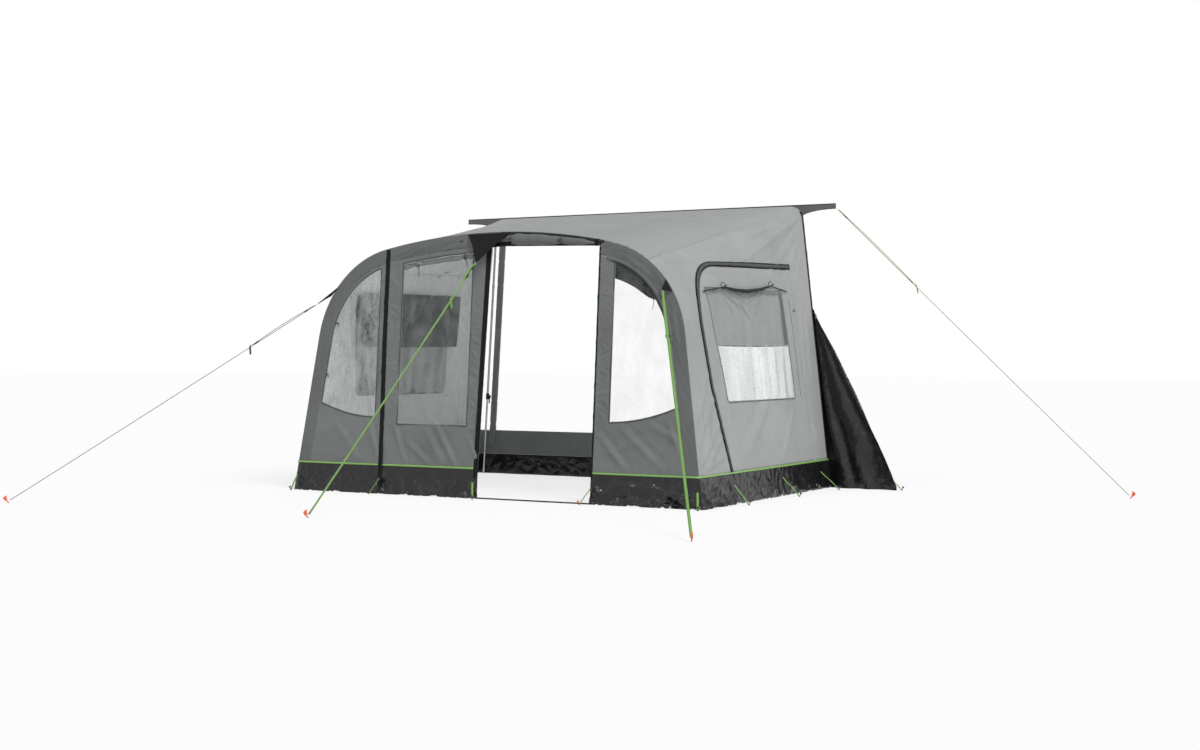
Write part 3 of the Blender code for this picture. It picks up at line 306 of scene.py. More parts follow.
# Skirt and pads sit in shade inside the awning; their pale grey is partly painted light that makes up for it.
SKIRT_CLOTH_PAINTED_LIGHT = woven_cloth("draught_skirt_cloth_painted_light", "A0A2A2", "8F9191", 0.8, crease=0.4)
# The ear at the rear corner is the roof's cloth; its darker grey is painted shade.
EAR_CLOTH_PAINTED_SHADE = woven_cloth("rail_edge_cloth_painted_shade", "6A6C6C", "5D5F5F", 0.75, crease=0.4)
SEAM_THREAD = woven_cloth("dark_seam_thread", "3C3E3E", "2E3030", 0.8, crease=0.2, sheen=0.02, gloss=0.1)
ZIP_FLAP_CLOTH = woven_cloth("grey_zip_flap_cloth", "565858", "484A4A", 0.75, crease=0.4, sheen=0.03,
                             gloss=0.1)
BLACK_TAPE = woven_cloth("black_zip_tape", "1B1B1C", "121213", 0.65, thread=0.002, crease=0.3, sheen=0.01,
                         weave=0.4, gloss=0.1)
PATCH_CLOTH = woven_cloth("black_patch_cloth", "1D1D1E", "131314", 0.7, sheen=0.01, gloss=0.1)
print("cloths:", [m.name for m in bpy.data.materials if "cloth" in m.name or "polyester" in m.name])

# %% [markdown]
# The mud wall is the same cloth with a thick black coat of vinyl, so it creases sharply and shines in
# patches. Window film is clear soft vinyl that has been folded: see-through, but hazy where it is creased.

# %% Black sheet, window film, webbing, plastic and metal
def creased_sheet(name, base_hex, dark_hex, roughness, strength):
    """Vinyl coated sheet: smooth, dark, with sharp creases and a patchy shine."""
    material, tree, shader = start_material(name, Specular_IOR_Level=0.15, Coat_Weight=0.5,
                                            Coat_Roughness=0.12)
    place = add_node(tree, "TexCoord").outputs["Object"]
    broad = add_node(tree, "TexNoise", sockets={"Vector": place, "Scale": 6.0, "Detail": 6.0,
                                                "Distortion": 0.8})
    rough = add_node(tree, "MapRange", sockets={"Value": broad.outputs["Fac"], "From Min": 0.3,
                                                "From Max": 0.7, "To Min": roughness - 0.1,
                                                "To Max": roughness + 0.15})
    tree.links.new(rough.outputs["Result"], shader.inputs["Roughness"])
    colour = add_node(tree, "Mix", RGBA, {"Factor": broad.outputs["Fac"], "A": linear(dark_hex),
                                          "B": linear(base_hex)})
    tree.links.new(colour.outputs["Result"], shader.inputs["Base Color"])
    cells = add_node(tree, "TexVoronoi", TO_EDGE, {"Vector": place, "Scale": 9.0})
    crumple = add_node(tree, "TexNoise", sockets={"Vector": place, "Scale": 11.0, "Detail": 2.0,
                                                  "Distortion": 1.2})
    mixed = add_node(tree, "Math", MULTIPLY_ADD, {0: cells.outputs["Distance"], 1: 1.6,
                                                  2: crumple.outputs["Fac"]})
    bump = add_node(tree, "Bump", sockets={"Height": mixed.outputs[0], "Strength": strength,
                                           "Distance": 0.016})
    tree.links.new(bump.outputs["Normal"], shader.inputs["Normal"])
    tree.links.new(bump.outputs["Normal"], shader.inputs["Coat Normal"])
    return material


MUD_SHEET = creased_sheet("vinyl_mud_sheet", "1D1C1E", "121113", 0.27, 0.42)
FLAP_SHEET = creased_sheet("vinyl_draught_sheet", "201F21", "141315", 0.30, 0.5)


def window_film(name, haze, streaks, alpha_low, alpha_high, clear_from=None):
    """Clear vinyl film: see-through where it lies flat, milky along its creases.

    Above the height clear_from it lies against the curtain, and is as good as invisible.
    """
    material, tree, shader = start_material(name, Base_Color=linear(haze), Roughness=0.16,
                                            Specular_IOR_Level=0.8, Coat_Weight=0.4, Coat_Roughness=0.08)
    place = add_node(tree, "TexCoord").outputs["Object"]
    tall = add_node(tree, "Mapping", sockets={"Vector": place, "Scale": streaks})
    streak = add_node(tree, "TexNoise", sockets={"Vector": tall.outputs["Vector"], "Scale": 1.0,
                                                 "Detail": 7.0, "Roughness": 0.6, "Distortion": 0.5})
    crinkle = add_node(tree, "TexNoise", sockets={"Vector": place, "Scale": 55.0, "Detail": 4.0})
    mixed = add_node(tree, "Math", MULTIPLY_ADD, {0: crinkle.outputs["Fac"], 1: 0.3,
                                                  2: streak.outputs["Fac"]})
    alpha = add_node(tree, "MapRange", sockets={"Value": mixed.outputs[0], "From Min": 0.5, "From Max": 0.85,
                                                "To Min": alpha_low, "To Max": alpha_high})
    opacity = alpha.outputs["Result"]
    if clear_from:
        height = add_node(tree, "SeparateXYZ", sockets={"Vector": place})
        share = add_node(tree, "MapRange", sockets={"Value": height.outputs["Z"], "To Min": 1.0,
                                                    "To Max": 0.15, "From Min": clear_from - 0.02,
                                                    "From Max": clear_from + 0.02})
        opacity = add_node(tree, "Math", {"operation": "MULTIPLY"},
                           {0: opacity, 1: share.outputs["Result"]}).outputs[0]
    tree.links.new(opacity, shader.inputs["Alpha"])
    bump = add_node(tree, "Bump", sockets={"Height": mixed.outputs[0], "Strength": 0.6, "Distance": 0.005})
    tree.links.new(bump.outputs["Normal"], shader.inputs["Normal"])
    return material


FILM = window_film("clear_window_film", "9FA3A3", (7.0, 7.0, 4.0), 0.05, 0.22)
CLEAR_FILM = window_film("new_window_film", "A8ACAC", (7.0, 7.0, 4.0), 0.02, 0.12)
# The outer left window's lighter, more opaque crinkles are partly milky creases and partly painted
# reflection.
CRUMPLED_FILM_PAINTED_REFLECTION = window_film("crumpled_film_painted_reflection", "BCC0C0", (12.0, 12.0, 4.0), 0.06, 0.48)
SIDE_FILM = window_film("clear_side_film", "C4C7C7", (3.4, 3.4, 0.4), 0.20, 0.85, CURTAIN_HEM_Z)
# The left door's film is the same vinyl, painted dark and nearly opaque: painted shade.
PAINTED_SHADE_FILM = window_film("side_film_painted_shade", "4A4D4D", (4.6, 4.6, 0.5), 0.86, 0.97)


def webbing(name, base_hex, dark_hex):
    """Woven polyester webbing: ribs 2 mm apart across the strap, along its own UV."""
    material, tree, shader = start_material(name, Roughness=0.7, Sheen_Weight=0.2)
    uv = add_node(tree, "UVMap").outputs["UV"]
    ribs = add_node(tree, "TexWave", {"bands_direction": "Y"},
                    {"Vector": uv, "Scale": math.tau / (20.0 * 0.002), "Distortion": 0.5})
    edge = add_node(tree, "TexWave", {"bands_direction": "X"},
                    {"Vector": uv, "Scale": math.tau / (20.0 * 0.020), "Distortion": 0.0})
    mixed = add_node(tree, "Math", {"operation": "MULTIPLY"}, {0: ribs.outputs["Fac"],
                                                              1: edge.outputs["Fac"]})
    colour = add_node(tree, "Mix", RGBA, {"Factor": mixed.outputs[0], "A": linear(dark_hex),
                                          "B": linear(base_hex)})
    tree.links.new(colour.outputs["Result"], shader.inputs["Base Color"])
    bump = add_node(tree, "Bump", sockets={"Height": mixed.outputs[0], "Strength": 0.4, "Distance": 0.0005})
    tree.links.new(bump.outputs["Normal"], shader.inputs["Normal"])
    return material


GREEN_WEBBING = webbing("green_polyester_webbing", "78A94C", "5B8737")
# The left guy's green webbing, painted dark: painted shade for its shaded side.
PAINTED_SHADE_WEBBING = webbing("dark_polyester_webbing", "3C4634", "2A3222")


def piping_vinyl(name, base_hex, dark_hex):
    """Extruded vinyl over a cord: smooth and softly shining, with a faint change of colour."""
    material, tree, shader = start_material(name, Roughness=0.35, Specular_IOR_Level=0.5, Coat_Weight=0.2)
    place = add_node(tree, "TexCoord").outputs["Object"]
    mottle = add_node(tree, "TexNoise", sockets={"Vector": place, "Scale": 25.0, "Detail": 3.0})
    colour = add_node(tree, "Mix", RGBA, {"Factor": mottle.outputs["Fac"], "A": linear(dark_hex),
                                          "B": linear(base_hex)})
    tree.links.new(colour.outputs["Result"], shader.inputs["Base Color"])
    return material


PIPING_VINYL = piping_vinyl("green_piping_vinyl", "86B75A", "6C9A44")


def moulded(name, hex_colour, roughness, metallic=0.0, grain=400.0, depth=0.0003):
    """Moulded plastic or drawn tube: one colour, broken up by a fine grain in gloss and surface."""
    material, tree, shader = start_material(name, Base_Color=linear(hex_colour), Metallic=metallic)
    place = add_node(tree, "TexCoord").outputs["Object"]
    speck = add_node(tree, "TexNoise", sockets={"Vector": place, "Scale": grain, "Detail": 3.0})
    wear = add_node(tree, "TexNoise", sockets={"Vector": place, "Scale": 9.0, "Detail": 5.0})
    gloss = add_node(tree, "MapRange", sockets={"Value": wear.outputs["Fac"], "From Min": 0.3,
                                                "From Max": 0.7, "To Min": roughness - 0.07,
                                                "To Max": roughness + 0.1})
    tree.links.new(gloss.outputs["Result"], shader.inputs["Roughness"])
    bump = add_node(tree, "Bump", sockets={"Height": speck.outputs["Fac"], "Strength": 0.3,
                                           "Distance": depth})
    tree.links.new(bump.outputs["Normal"], shader.inputs["Normal"])
    return material


BLACK_NYLON = moulded("moulded_black_nylon", "1E1E1F", 0.45)
ORANGE_PLASTIC = moulded("moulded_orange_plastic", "DF5A30", 0.4)
ALLOY_TUBE = moulded("anodised_alloy_tube", "CDCFCF", 0.34, 1.0, 700.0, 0.00005)
STEEL_TUBE = moulded("galvanised_steel_tube", "B4B7B8", 0.38, 1.0, 120.0, 0.0001)
print("materials:", len(bpy.data.materials))

# %% [markdown]
# ## How a sheet is made here
#
# Each sheet starts as a fine flat or ruled grid. Knife cuts along its outline give it its shape, as a
# cutter would, with `bisect_plane`. Then every point moves in or out by a lift that all sheets of one
# wall share, so that neighbours still meet where they are sewn, and Solidify gives the cloth a thickness.
# A lift is a few long creases and a fine pucker along the zips.

# %% Helpers for sheets
def grid(columns, rows, place):
    """A grid with every point put where place(s, t) says, s and t running from 0 to 1."""
    bm = bmesh.new()
    bmesh.ops.create_grid(bm, x_segments=columns, y_segments=rows, size=0.5)
    for vert in bm.verts:
        vert.co = place(vert.co.x + 0.5, vert.co.y + 0.5)
    return bm


def inside(outline, a, b):
    found = False
    for i, (xa, ya) in enumerate(outline):
        xb, yb = outline[i - 1]
        if (ya > b) != (yb > b) and a < (xb - xa) * (b - ya) / (yb - ya) + xa:
            found = not found
    return found


def cut(bm, outline, axes, keep_inside, cell):
    """Cuts a sheet along a closed outline, seen along the axis that is not named, and drops one part."""
    first, second = axes
    for i, start in enumerate(outline):
        end = outline[(i + 1) % len(outline)]
        low = (min(start[0], end[0]) - cell, min(start[1], end[1]) - cell)
        high = (max(start[0], end[0]) + cell, max(start[1], end[1]) + cell)
        near = []
        for face in bm.faces:
            middle = face.calc_center_bounds()
            if low[0] <= middle[first] <= high[0] and low[1] <= middle[second] <= high[1]:
                near.append(face)
        if not near:
            continue
        edges = {edge for face in near for edge in face.edges}
        verts = {vert for face in near for vert in face.verts}
        normal, origin = Vector(), Vector()
        normal[first], normal[second] = end[1] - start[1], start[0] - end[0]
        origin[first], origin[second] = start
        bmesh.ops.bisect_plane(bm, geom=near + list(edges) + list(verts), dist=0.00002, plane_co=origin,
                               plane_no=normal)
    dropped = []
    for face in bm.faces:
        middle = face.calc_center_median()
        if inside(outline, middle[first], middle[second]) != keep_inside:
            dropped.append(face)
    bmesh.ops.delete(bm, geom=dropped, context="FACES")


def add_uv(bm, place):
    """Gives a sheet its UV in metres, from each point's place."""
    layer = bm.loops.layers.uv.verify()
    for face in bm.faces:
        for loop in face.loops:
            loop[layer].uv = place(loop.vert.co)


def sheet_area(bm):
    return sum(face.calc_area() for face in bm.faces)


def make_object(bm, name, material, body):
    """A finished mesh as a piece of the awning that rides on one of its bodies."""
    mesh = bpy.data.meshes.new(name)
    bm.to_mesh(mesh)
    bm.free()
    mesh.materials.append(material)
    mesh.shade_smooth()
    obj = bpy.data.objects.new(name, mesh)
    bpy.context.scene.collection.objects.link(obj)
    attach(obj, body)
    return obj


def thicken(obj, thickness):
    """Gives a sheet its thickness inwards, so that its outer face stays where it was put."""
    solid = obj.modifiers.new("thickness", "SOLIDIFY")
    solid.thickness = thickness
    solid.offset = -1.0
    solid.use_even_offset = False


def cloth(bm, name, material, body, flat, area, node=None, thickness=CLOTH,
          lining=None):
    """A sheet of cloth, thickened and lined, that stands for its plain solid and hides it."""
    obj = make_object(bm, name, material, body)
    thicken(obj, thickness)
    if lining:
        obj.data.materials.append(lining)
        obj.modifiers["thickness"].material_offset = 1
    if node:
        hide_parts(node)
    whole = flat[0] * flat[1]
    None if area is None else min(area, whole)
    return obj


def crease(a, b, line, broad=1.0):
    """Height of one crease at a point: a ridge along a line that fades at its ends and sides."""
    ax, ay, bx, by, width, height = line
    width *= broad
    length = math.hypot(bx - ax, by - ay)
    ux, uy = (bx - ax) / length, (by - ay) / length
    along = ((a - ax) * ux + (b - ay) * uy) / length
    across = (b - ay) * ux - (a - ax) * uy
    if along <= 0.0 or along >= 1.0 or abs(across) > 3.0 * width:
        return 0.0
    ridge = math.exp(-(across / width) ** 2) - 0.5 * math.exp(-((across - 1.4 * width) / width) ** 2)
    return height * ridge * math.sin(math.pi * along) ** 0.6


def uneven(a, b, c):
    """A smooth random height at a point, between about -1 and 1."""
    return noise.noise(Vector((a, b, c)))


def push_out(bm, lift):
    """Moves every point along its normal by the lift of its place, worked out before any point moves."""
    bm.normal_update()
    moves = [(vert, vert.normal * lift(vert.co)) for vert in bm.verts]
    for vert, move in moves:
        vert.co += move


def pucker(distance, along, reach, pitch, height, seed):
    """Gathers beside a sewn zip: short folds across the seam that fade away from it."""
    distance = abs(distance)
    if distance > 3.0 * reach:
        return 0.0
    wander = 0.6 * uneven(along * 9.0, seed, 0.5)
    wave = math.sin(math.tau * (along / pitch + wander))
    size = 0.55 + 0.9 * uneven(along * 6.0, seed + 4.0, 1.5)
    return height * wave * max(0.1, size) * math.exp(-(distance / reach) ** 2)


def fade(distance, reach):
    """0 at an edge, 1 from reach away on."""
    share = min(1.0, max(0.0, distance / reach))
    return share * share * (3.0 - 2.0 * share)


def soft_noise(a, b, scale, height, seed):
    return height * uneven(a * scale, b * scale, seed)


print("sheet helpers ready")

# %% [markdown]
# ## The front wall
#
# The front is darker cloth. A border band follows the arch, and three panels stand in it: one at the
# far left, one beside the doorway that zips out, and one at the right. The doorway's own panel is rolled
# up. The panels are sewn flat and held by zips, so the cloth gathers in short puckers along each zip, and
# long creases run across the corners where the mud wall pulls.

# %% Outlines in the front wall
ARC_PARTS = 14
LEG_PARTS = 4


def half_arch(profile):
    """Points of a section's right half, from the crown down to the mud wall's seam."""
    path = [profile.point(w) for w in steps(0.0, 1.0, ARC_PARTS)]
    path += [profile.point(w) for w in steps(1.0, 2.0, ARC_PARTS)[1:]]
    return path + [profile.point(w) for w in steps(2.0, 3.0, LEG_PARTS)[1:]]


def mirrored(path):
    return [(-x, z) for x, z in reversed(path)]


def arch_part(profile, low_x, high_x):
    """The arch's line between two x, left to right."""
    edge = mirrored(half_arch(profile))[:-1] + half_arch(profile)
    kept = [p for p in edge if low_x < p[0] < high_x]
    if low_x > edge[0][0]:
        kept.insert(0, (low_x, profile.crown_z(low_x)))
    if high_x < edge[-1][0]:
        kept.append((high_x, profile.crown_z(high_x)))
    return kept


def outer_window(clear_of_arch=0.140, edge_x=1.12, sill=0.63, rise=0.115):
    """Window of an outer panel: upright inner edge, an outer edge along the arch, a swept sill."""
    profile = ARCH.inset(clear_of_arch)
    foot_x = profile.half_base - profile.splay * (sill + rise)
    top = [(edge_x, profile.crown_z(edge_x))]
    arch = [p for p in half_arch(profile) if p[0] > edge_x and p[1] > sill + rise]
    sill_line = [(edge_x + (foot_x - edge_x) * s, sill + rise * s * s) for s in steps(1.0, 0.0, 8)]
    return top + arch + sill_line


def inner_window(left=-0.895, right=-0.20, sill=0.575):
    profile = ARCH.inset(0.155)
    return [(left, sill), (right, sill)] + [(x, profile.crown_z(x)) for x in steps(right, left, 6)]


def edge_distance(outline, a, b):
    """Distance from a point to the nearest side of an outline."""
    nearest = 9.0
    for i, (xa, ya) in enumerate(outline):
        xb, yb = outline[i - 1]
        dx, dy = xb - xa, yb - ya
        share = max(0.0, min(1.0, ((a - xa) * dx + (b - ya) * dy) / max(1e-9, dx * dx + dy * dy)))
        nearest = min(nearest, math.hypot(a - xa - share * dx, b - ya - share * dy))
    return nearest


WINDOW_RIGHT = outer_window()
WINDOW_OUTER_LEFT = mirrored(WINDOW_RIGHT)
WINDOW_INNER_LEFT = inner_window()

FRONT_CREASES = (
    (-0.52, 0.62, -0.26, 0.20, 0.016, 0.0045),
    (-0.80, 0.45, -0.50, 0.22, 0.018, 0.0040),
    (-0.62, 0.56, -0.42, 0.27, 0.020, 0.0030),
    (-0.93, 0.60, -0.80, 0.26, 0.016, 0.0035),
    (-0.20, 0.50, -0.05, 0.28, 0.016, 0.0035),
    (-1.20, 0.62, -1.06, 0.26, 0.018, 0.0040),
    (-1.55, 0.60, -1.25, 0.26, 0.022, 0.0030),
    (-1.85, 0.42, -1.50, 0.60, 0.022, 0.0030),
    (-0.88, 1.98, -0.70, 1.86, 0.014, 0.0040),
    (-0.62, 2.04, -0.36, 1.93, 0.014, 0.0035),
    (-0.30, 2.05, -0.20, 1.90, 0.012, 0.0040),
    (1.02, 0.55, 1.30, 0.26, 0.018, 0.0045),
    (1.20, 0.62, 1.62, 0.27, 0.020, 0.0040),
    (1.05, 0.38, 1.50, 0.52, 0.020, 0.0030),
    (1.62, 0.66, 1.82, 0.30, 0.016, 0.0045),
    (1.45, 0.64, 1.78, 0.48, 0.018, 0.0035),
)


def door_left_x(z):
    """The doorway's left edge leans out a little towards its foot."""
    return DOOR_LEFT_X + (DOOR_LEFT_LOW_X - DOOR_LEFT_X) * min(1.0, max(0.0, (2.01 - z) / 1.77))


STRIPS = ((-1.12, ZIP_X - 0.012, 0.66, 1.93, 0.060, 5.0), (ZIP_X + 0.012, -0.895, 0.52, 1.96, 0.064, 6.0),
          (DOOR_RIGHT_X + 0.008, 1.12, 0.55, 1.93, 0.058, 8.0), (-0.20, -0.09, 0.45, 1.98, 0.110, 11.0))


def gathers(x, z):
    """Slanting folds across the narrow strips beside the windows, where a zip draws the cloth in."""
    lift = 0.0
    for low_x, high_x, low_z, high_z, pitch, seed in STRIPS:
        if low_x < x < high_x and low_z - 0.1 < z < high_z + 0.05:
            across = (x - low_x) / (high_x - low_x)
            bend = 1.3 * uneven(z * 4.0, seed, 0.3) + 0.5 * uneven(z * 13.0, seed, 0.9)
            wave = math.sin(math.tau * (z / pitch + 2.2 * across * uneven(z * 2.6, seed, 3.0)
                                        + 0.55 * across + bend))
            sharp = 1.0 - 2.0 * abs(wave) ** 0.7
            size = 0.45 + 1.1 * abs(uneven(z * 5.0, across, seed + 2.0))
            ends = fade(z - low_z + 0.1, 0.15) * fade(high_z + 0.05 - z, 0.12)
            lift += 0.0075 * sharp * size * ends * math.sin(math.pi * across) ** 0.45
    return lift


def front_lift(x, z):
    """How far the front wall's cloth stands out of its plane at a point."""
    depth = ARCH.depth(x, z)
    lift = 3.0 * sum(crease(x, z, line, 1.5) for line in FRONT_CREASES) + gathers(x, z)
    for seam, seed in ((ZIP_X, 1.0), (door_left_x(z), 2.0), (DOOR_RIGHT_X, 3.0)):
        lift += pucker(x - seam, z, reach=0.042, pitch=0.052, height=0.0030, seed=seed)
    lift += soft_noise(x, z, 3.1, 0.0050, 7.0) + soft_noise(x, z, 11.0, 0.0018, 9.0)
    lift += 0.0015 * math.sin(math.tau * x / 0.075 + 3.0 * uneven(x * 4, z, 2)) * fade(0.40 - z, 0.2)
    hold = fade(depth - BAND_WIDTH - 0.001, 0.05) * fade(z - MUD_TOP - 0.001, 0.05)
    for seam in (ZIP_X, door_left_x(z), DOOR_RIGHT_X):
        hold *= 0.45 + 0.55 * fade(abs(x - seam) - 0.006, 0.02)
    return max(-0.016, min(0.024, lift * hold))


BAND_CREASES = (
    (-1.03, 1.90, -0.56, 2.075, 0.012, 0.0075),
    (-1.02, 1.955, -0.70, 2.045, 0.010, 0.0060),
    (-0.90, 1.875, -0.20, 2.075, 0.014, 0.0070),
    (-0.60, 1.935, -0.24, 2.085, 0.011, 0.0060),
    (1.02, 2.05, 1.30, 1.90, 0.014, 0.0060),
    (1.10, 1.98, 1.46, 1.74, 0.013, 0.0060),
    (1.40, 1.90, 1.60, 1.62, 0.014, 0.0050),
    (1.62, 1.60, 1.72, 1.10, 0.014, 0.0050),
    (-1.72, 1.40, -1.78, 0.90, 0.016, 0.0045),
    (-1.50, 1.72, -1.20, 1.92, 0.014, 0.0045),
)


def band_lift(x, z):
    """The arch's border is drawn tight over its tube, with small gathers along its inner seam."""
    depth = ARCH.depth(x, z)
    hold = fade(depth - 0.002, 0.03) * fade(BAND_WIDTH - depth, 0.02)
    along = math.atan2(x, z - 0.6)
    folds = math.sin(math.tau * (along / 0.085 + 2.2 * depth / BAND_WIDTH + uneven(along * 5, 0, 17)))
    size = 0.4 + 1.2 * abs(uneven(along * 4.0, depth * 3.0, 19.0))
    slack = 1.0 + 1.6 * math.exp(-((x + 0.65) / 0.35) ** 2) + 0.8 * math.exp(-((x - 1.25) / 0.3) ** 2)
    ridges = 1.5 * sum(crease(x, z, line, 1.2) for line in BAND_CREASES)
    return hold * (slack * (0.0024 * folds * size + 0.0016) + ridges)


def film_lift(outline):
    """Lift of a window: the wall's own, and the film's crinkles away from its seam."""
    def lift(x, z):
        inner = fade(edge_distance(outline, x, z) - 0.002, 0.04)
        ridges = 1.0 - 2.0 * abs(uneven(x * 6.0, z * 4.0, 3.3))
        small = 1.0 - 2.0 * abs(uneven(x * 21.0, z * 19.0, 8.1))
        return front_lift(x, z) + inner * (0.0060 * ridges + 0.0030 * small - 0.004)
    return lift


def upright_sheet(outline, cell):
    """A flat sheet in the plane of x and height, cut from a slightly larger grid along its outline."""
    low_x, low_z = min(p[0] for p in outline) - 0.01, min(p[1] for p in outline) - 0.01
    wide, tall = max(p[0] for p in outline) + 0.01 - low_x, max(p[1] for p in outline) + 0.01 - low_z
    bm = grid(round(wide / cell), max(2, round(tall / cell)),
              lambda s, t: Vector((low_x + wide * s, 0.0, low_z + tall * t)))
    cut(bm, outline, (0, 2), True, cell)
    return bm


def front_sheet(outline, holes=(), cell=0.016, lift=front_lift, out=0.0):
    """A sheet of the front wall, cut along its outline and round its windows."""
    bm = upright_sheet(outline, cell)
    for hole in holes:
        cut(bm, hole, (0, 2), False, cell)
    add_uv(bm, lambda co: (co.x, co.z))
    area = sheet_area(bm) * SLANT
    for vert in bm.verts:
        x, z = vert.co.x, vert.co.z
        vert.co = front_place(x, z, out + lift(x, z))
    return bm, area


def box_of(outline):
    return (round(max(p[0] for p in outline) - min(p[0] for p in outline), 3),
            round((max(p[1] for p in outline) - min(p[1] for p in outline)) * SLANT, 3))


print("window outlines:", len(WINDOW_RIGHT), len(WINDOW_INNER_LEFT), "points")

# %% Front panels, band and windows
band_outer = half_arch(ARCH.inset(0.0012))
band_inner = half_arch(ARCH.inset(BAND_WIDTH))
band_reach = band_inner[-1][0] + 1.0
BAND = (mirrored(band_outer)[:-1] + band_outer
        + arch_part(ARCH.inset(BAND_WIDTH), DOOR_RIGHT_X, band_reach)[::-1]
        + [(DOOR_RIGHT_X, HEADER_RIGHT_Z), (DOOR_LEFT_X, HEADER_LEFT_Z)]
        + arch_part(ARCH.inset(BAND_WIDTH), -band_reach, DOOR_LEFT_X)[::-1])
bm, area = front_sheet(BAND, lift=band_lift, cell=0.014)
cloth(bm, "arch_band", BAND_CLOTH, "awning", (round(area / BAND_WIDTH, 2), BAND_WIDTH), None,
      "front_arch_band")

PANEL_EDGE = ARCH.inset(BAND_WIDTH + 0.0008)
reach = PANEL_EDGE.point(3.0)[0]
LOW = MUD_TOP + 0.0008
FILM_THICKNESS = 0.0005
PANELS = {
    "right": (arch_part(PANEL_EDGE, DOOR_RIGHT_X, reach + 1.0) + [(DOOR_RIGHT_X, LOW)], WINDOW_RIGHT),
    "outer_left": (arch_part(PANEL_EDGE, -reach - 1.0, ZIP_X - 0.001) + [(ZIP_X - 0.001, LOW)],
                   WINDOW_OUTER_LEFT),
    "inner_left": (arch_part(PANEL_EDGE, ZIP_X + 0.001, DOOR_LEFT_X)
                   + [(DOOR_LEFT_LOW_X, LOW), (ZIP_X + 0.001, LOW)], WINDOW_INNER_LEFT),
}
for label, (outline, window) in PANELS.items():
    bm, area = front_sheet(outline, [window], cell=0.0125)
    cloth(bm, "panel_" + label, FRONT_CLOTH, "awning", box_of(outline), area,
          "front_panel_" + label)
    bm, area = front_sheet(window, cell=0.012, lift=film_lift(window), out=-0.0006)
    # The outer left pane's film is partly painted reflection.
    film = {"outer_left": CRUMPLED_FILM_PAINTED_REFLECTION, "right": CLEAR_FILM}.get(label, FILM)
    cloth(bm, "window_" + label, film, "awning", box_of(window), area,
          "front_window_" + label, thickness=FILM_THICKNESS)
    print(label, "panel and window", round(area, 3), "m2 of film")

# %% [markdown]
# ## Roof and side walls
#
# Roof and walls are one run of lighter cloth. The long creases start at the rear top corner, where the
# corner's ear is pulled along the rail, and fan down to the door's head. The side door is a separate leaf
# with its own zip, and its window is film with a curtain of thin cloth behind it.

# %% The canopy's lift and its sheets
SIDE_CREASES = (
    (0.04, 2.36, 1.30, 1.90, 0.030, 0.0060),
    (0.04, 2.33, 1.70, 2.02, 0.035, 0.0045),
    (0.04, 2.30, 0.95, 1.75, 0.026, 0.0060),
    (0.05, 2.26, 0.70, 1.62, 0.024, 0.0050),
    (0.04, 2.20, 0.42, 1.55, 0.022, 0.0040),
    (0.10, 2.05, 0.34, 1.20, 0.020, 0.0030),
    (2.50, 0.30, 2.04, 0.66, 0.024, 0.0070),
    (2.49, 0.45, 2.10, 0.85, 0.022, 0.0050),
    (2.46, 0.62, 2.14, 1.05, 0.020, 0.0040),
    (2.52, 0.26, 2.00, 0.38, 0.020, 0.0040),
    (1.10, 0.80, 1.72, 0.34, 0.045, 0.0070),
    (1.86, 0.74, 1.95, 0.30, 0.025, 0.0040),
    (0.62, 0.72, 0.98, 0.27, 0.030, 0.0040),
    (0.40, 0.70, 0.12, 0.28, 0.018, 0.0050),
    (0.36, 0.52, 0.18, 0.30, 0.014, 0.0040),
    (2.30, 1.95, 1.70, 1.80, 0.028, 0.0040),
    (2.50, 0.27, 2.20, 1.10, 0.016, 0.0040),
    (2.44, 0.26, 2.06, 0.92, 0.014, 0.0045),
    (2.40, 0.26, 2.02, 0.55, 0.014, 0.0040),
    (0.16, 1.90, 0.20, 0.90, 0.022, 0.0035),
    (0.28, 1.80, 0.34, 0.80, 0.018, 0.0030),
    (1.50, 0.72, 1.30, 0.32, 0.026, 0.0035),
)


def side_lift(side, y, z):
    """How far a side wall stands out at a point, given by its y and height."""
    d = RAIL_Y - y
    if side < 0:
        d += 0.07 * math.sin(z * 3.0)
    lift = 4.0 * sum(crease(d, z, line, 1.1) for line in SIDE_CREASES)
    d = RAIL_Y - y
    seed = 20.0 + 5.0 * side
    lift += soft_noise(d, z, 1.9, 0.0080, seed) + soft_noise(d, z, 8.0, 0.0016, seed + 2.0)
    door_edge = edge_distance(SIDE_DOOR_YZ, y, z)
    lift += pucker(door_edge, d + z, reach=0.030, pitch=0.060, height=0.0028, seed=seed + 1.0)
    hold = fade(d - 0.02, 0.10) * fade(y - (FRONT_Y + LEAN * z) - 0.004, 0.06)
    hold *= fade(z - MUD_TOP - 0.002, 0.05) * (0.15 + 0.85 * fade(door_edge - 0.012, 0.05))
    return max(-0.020, min(0.030, lift * hold))


def roof_lift(x, y, z):
    """Roof cloth hangs a little between the arch, the two roof poles and the rail."""
    d = RAIL_Y - y
    hold = fade(d - 0.03, 0.35) * fade(y - (FRONT_Y + LEAN * z) - 0.02, 0.35)
    over_pole = min(abs(x - 0.9), abs(x + 0.9))
    sag = -0.016 * fade(over_pole, 0.5) - 0.003
    lift = sag + soft_noise(x, y, 1.6, 0.006, 31.0)
    for start, end in ((-1.6, 0.1), (1.6, -0.1), (-1.0, -0.6), (1.0, 0.7)):
        lift += crease(x, y, (start, RAIL_Y - 0.05, end, -0.4, 0.05, 0.006))
    return lift * hold


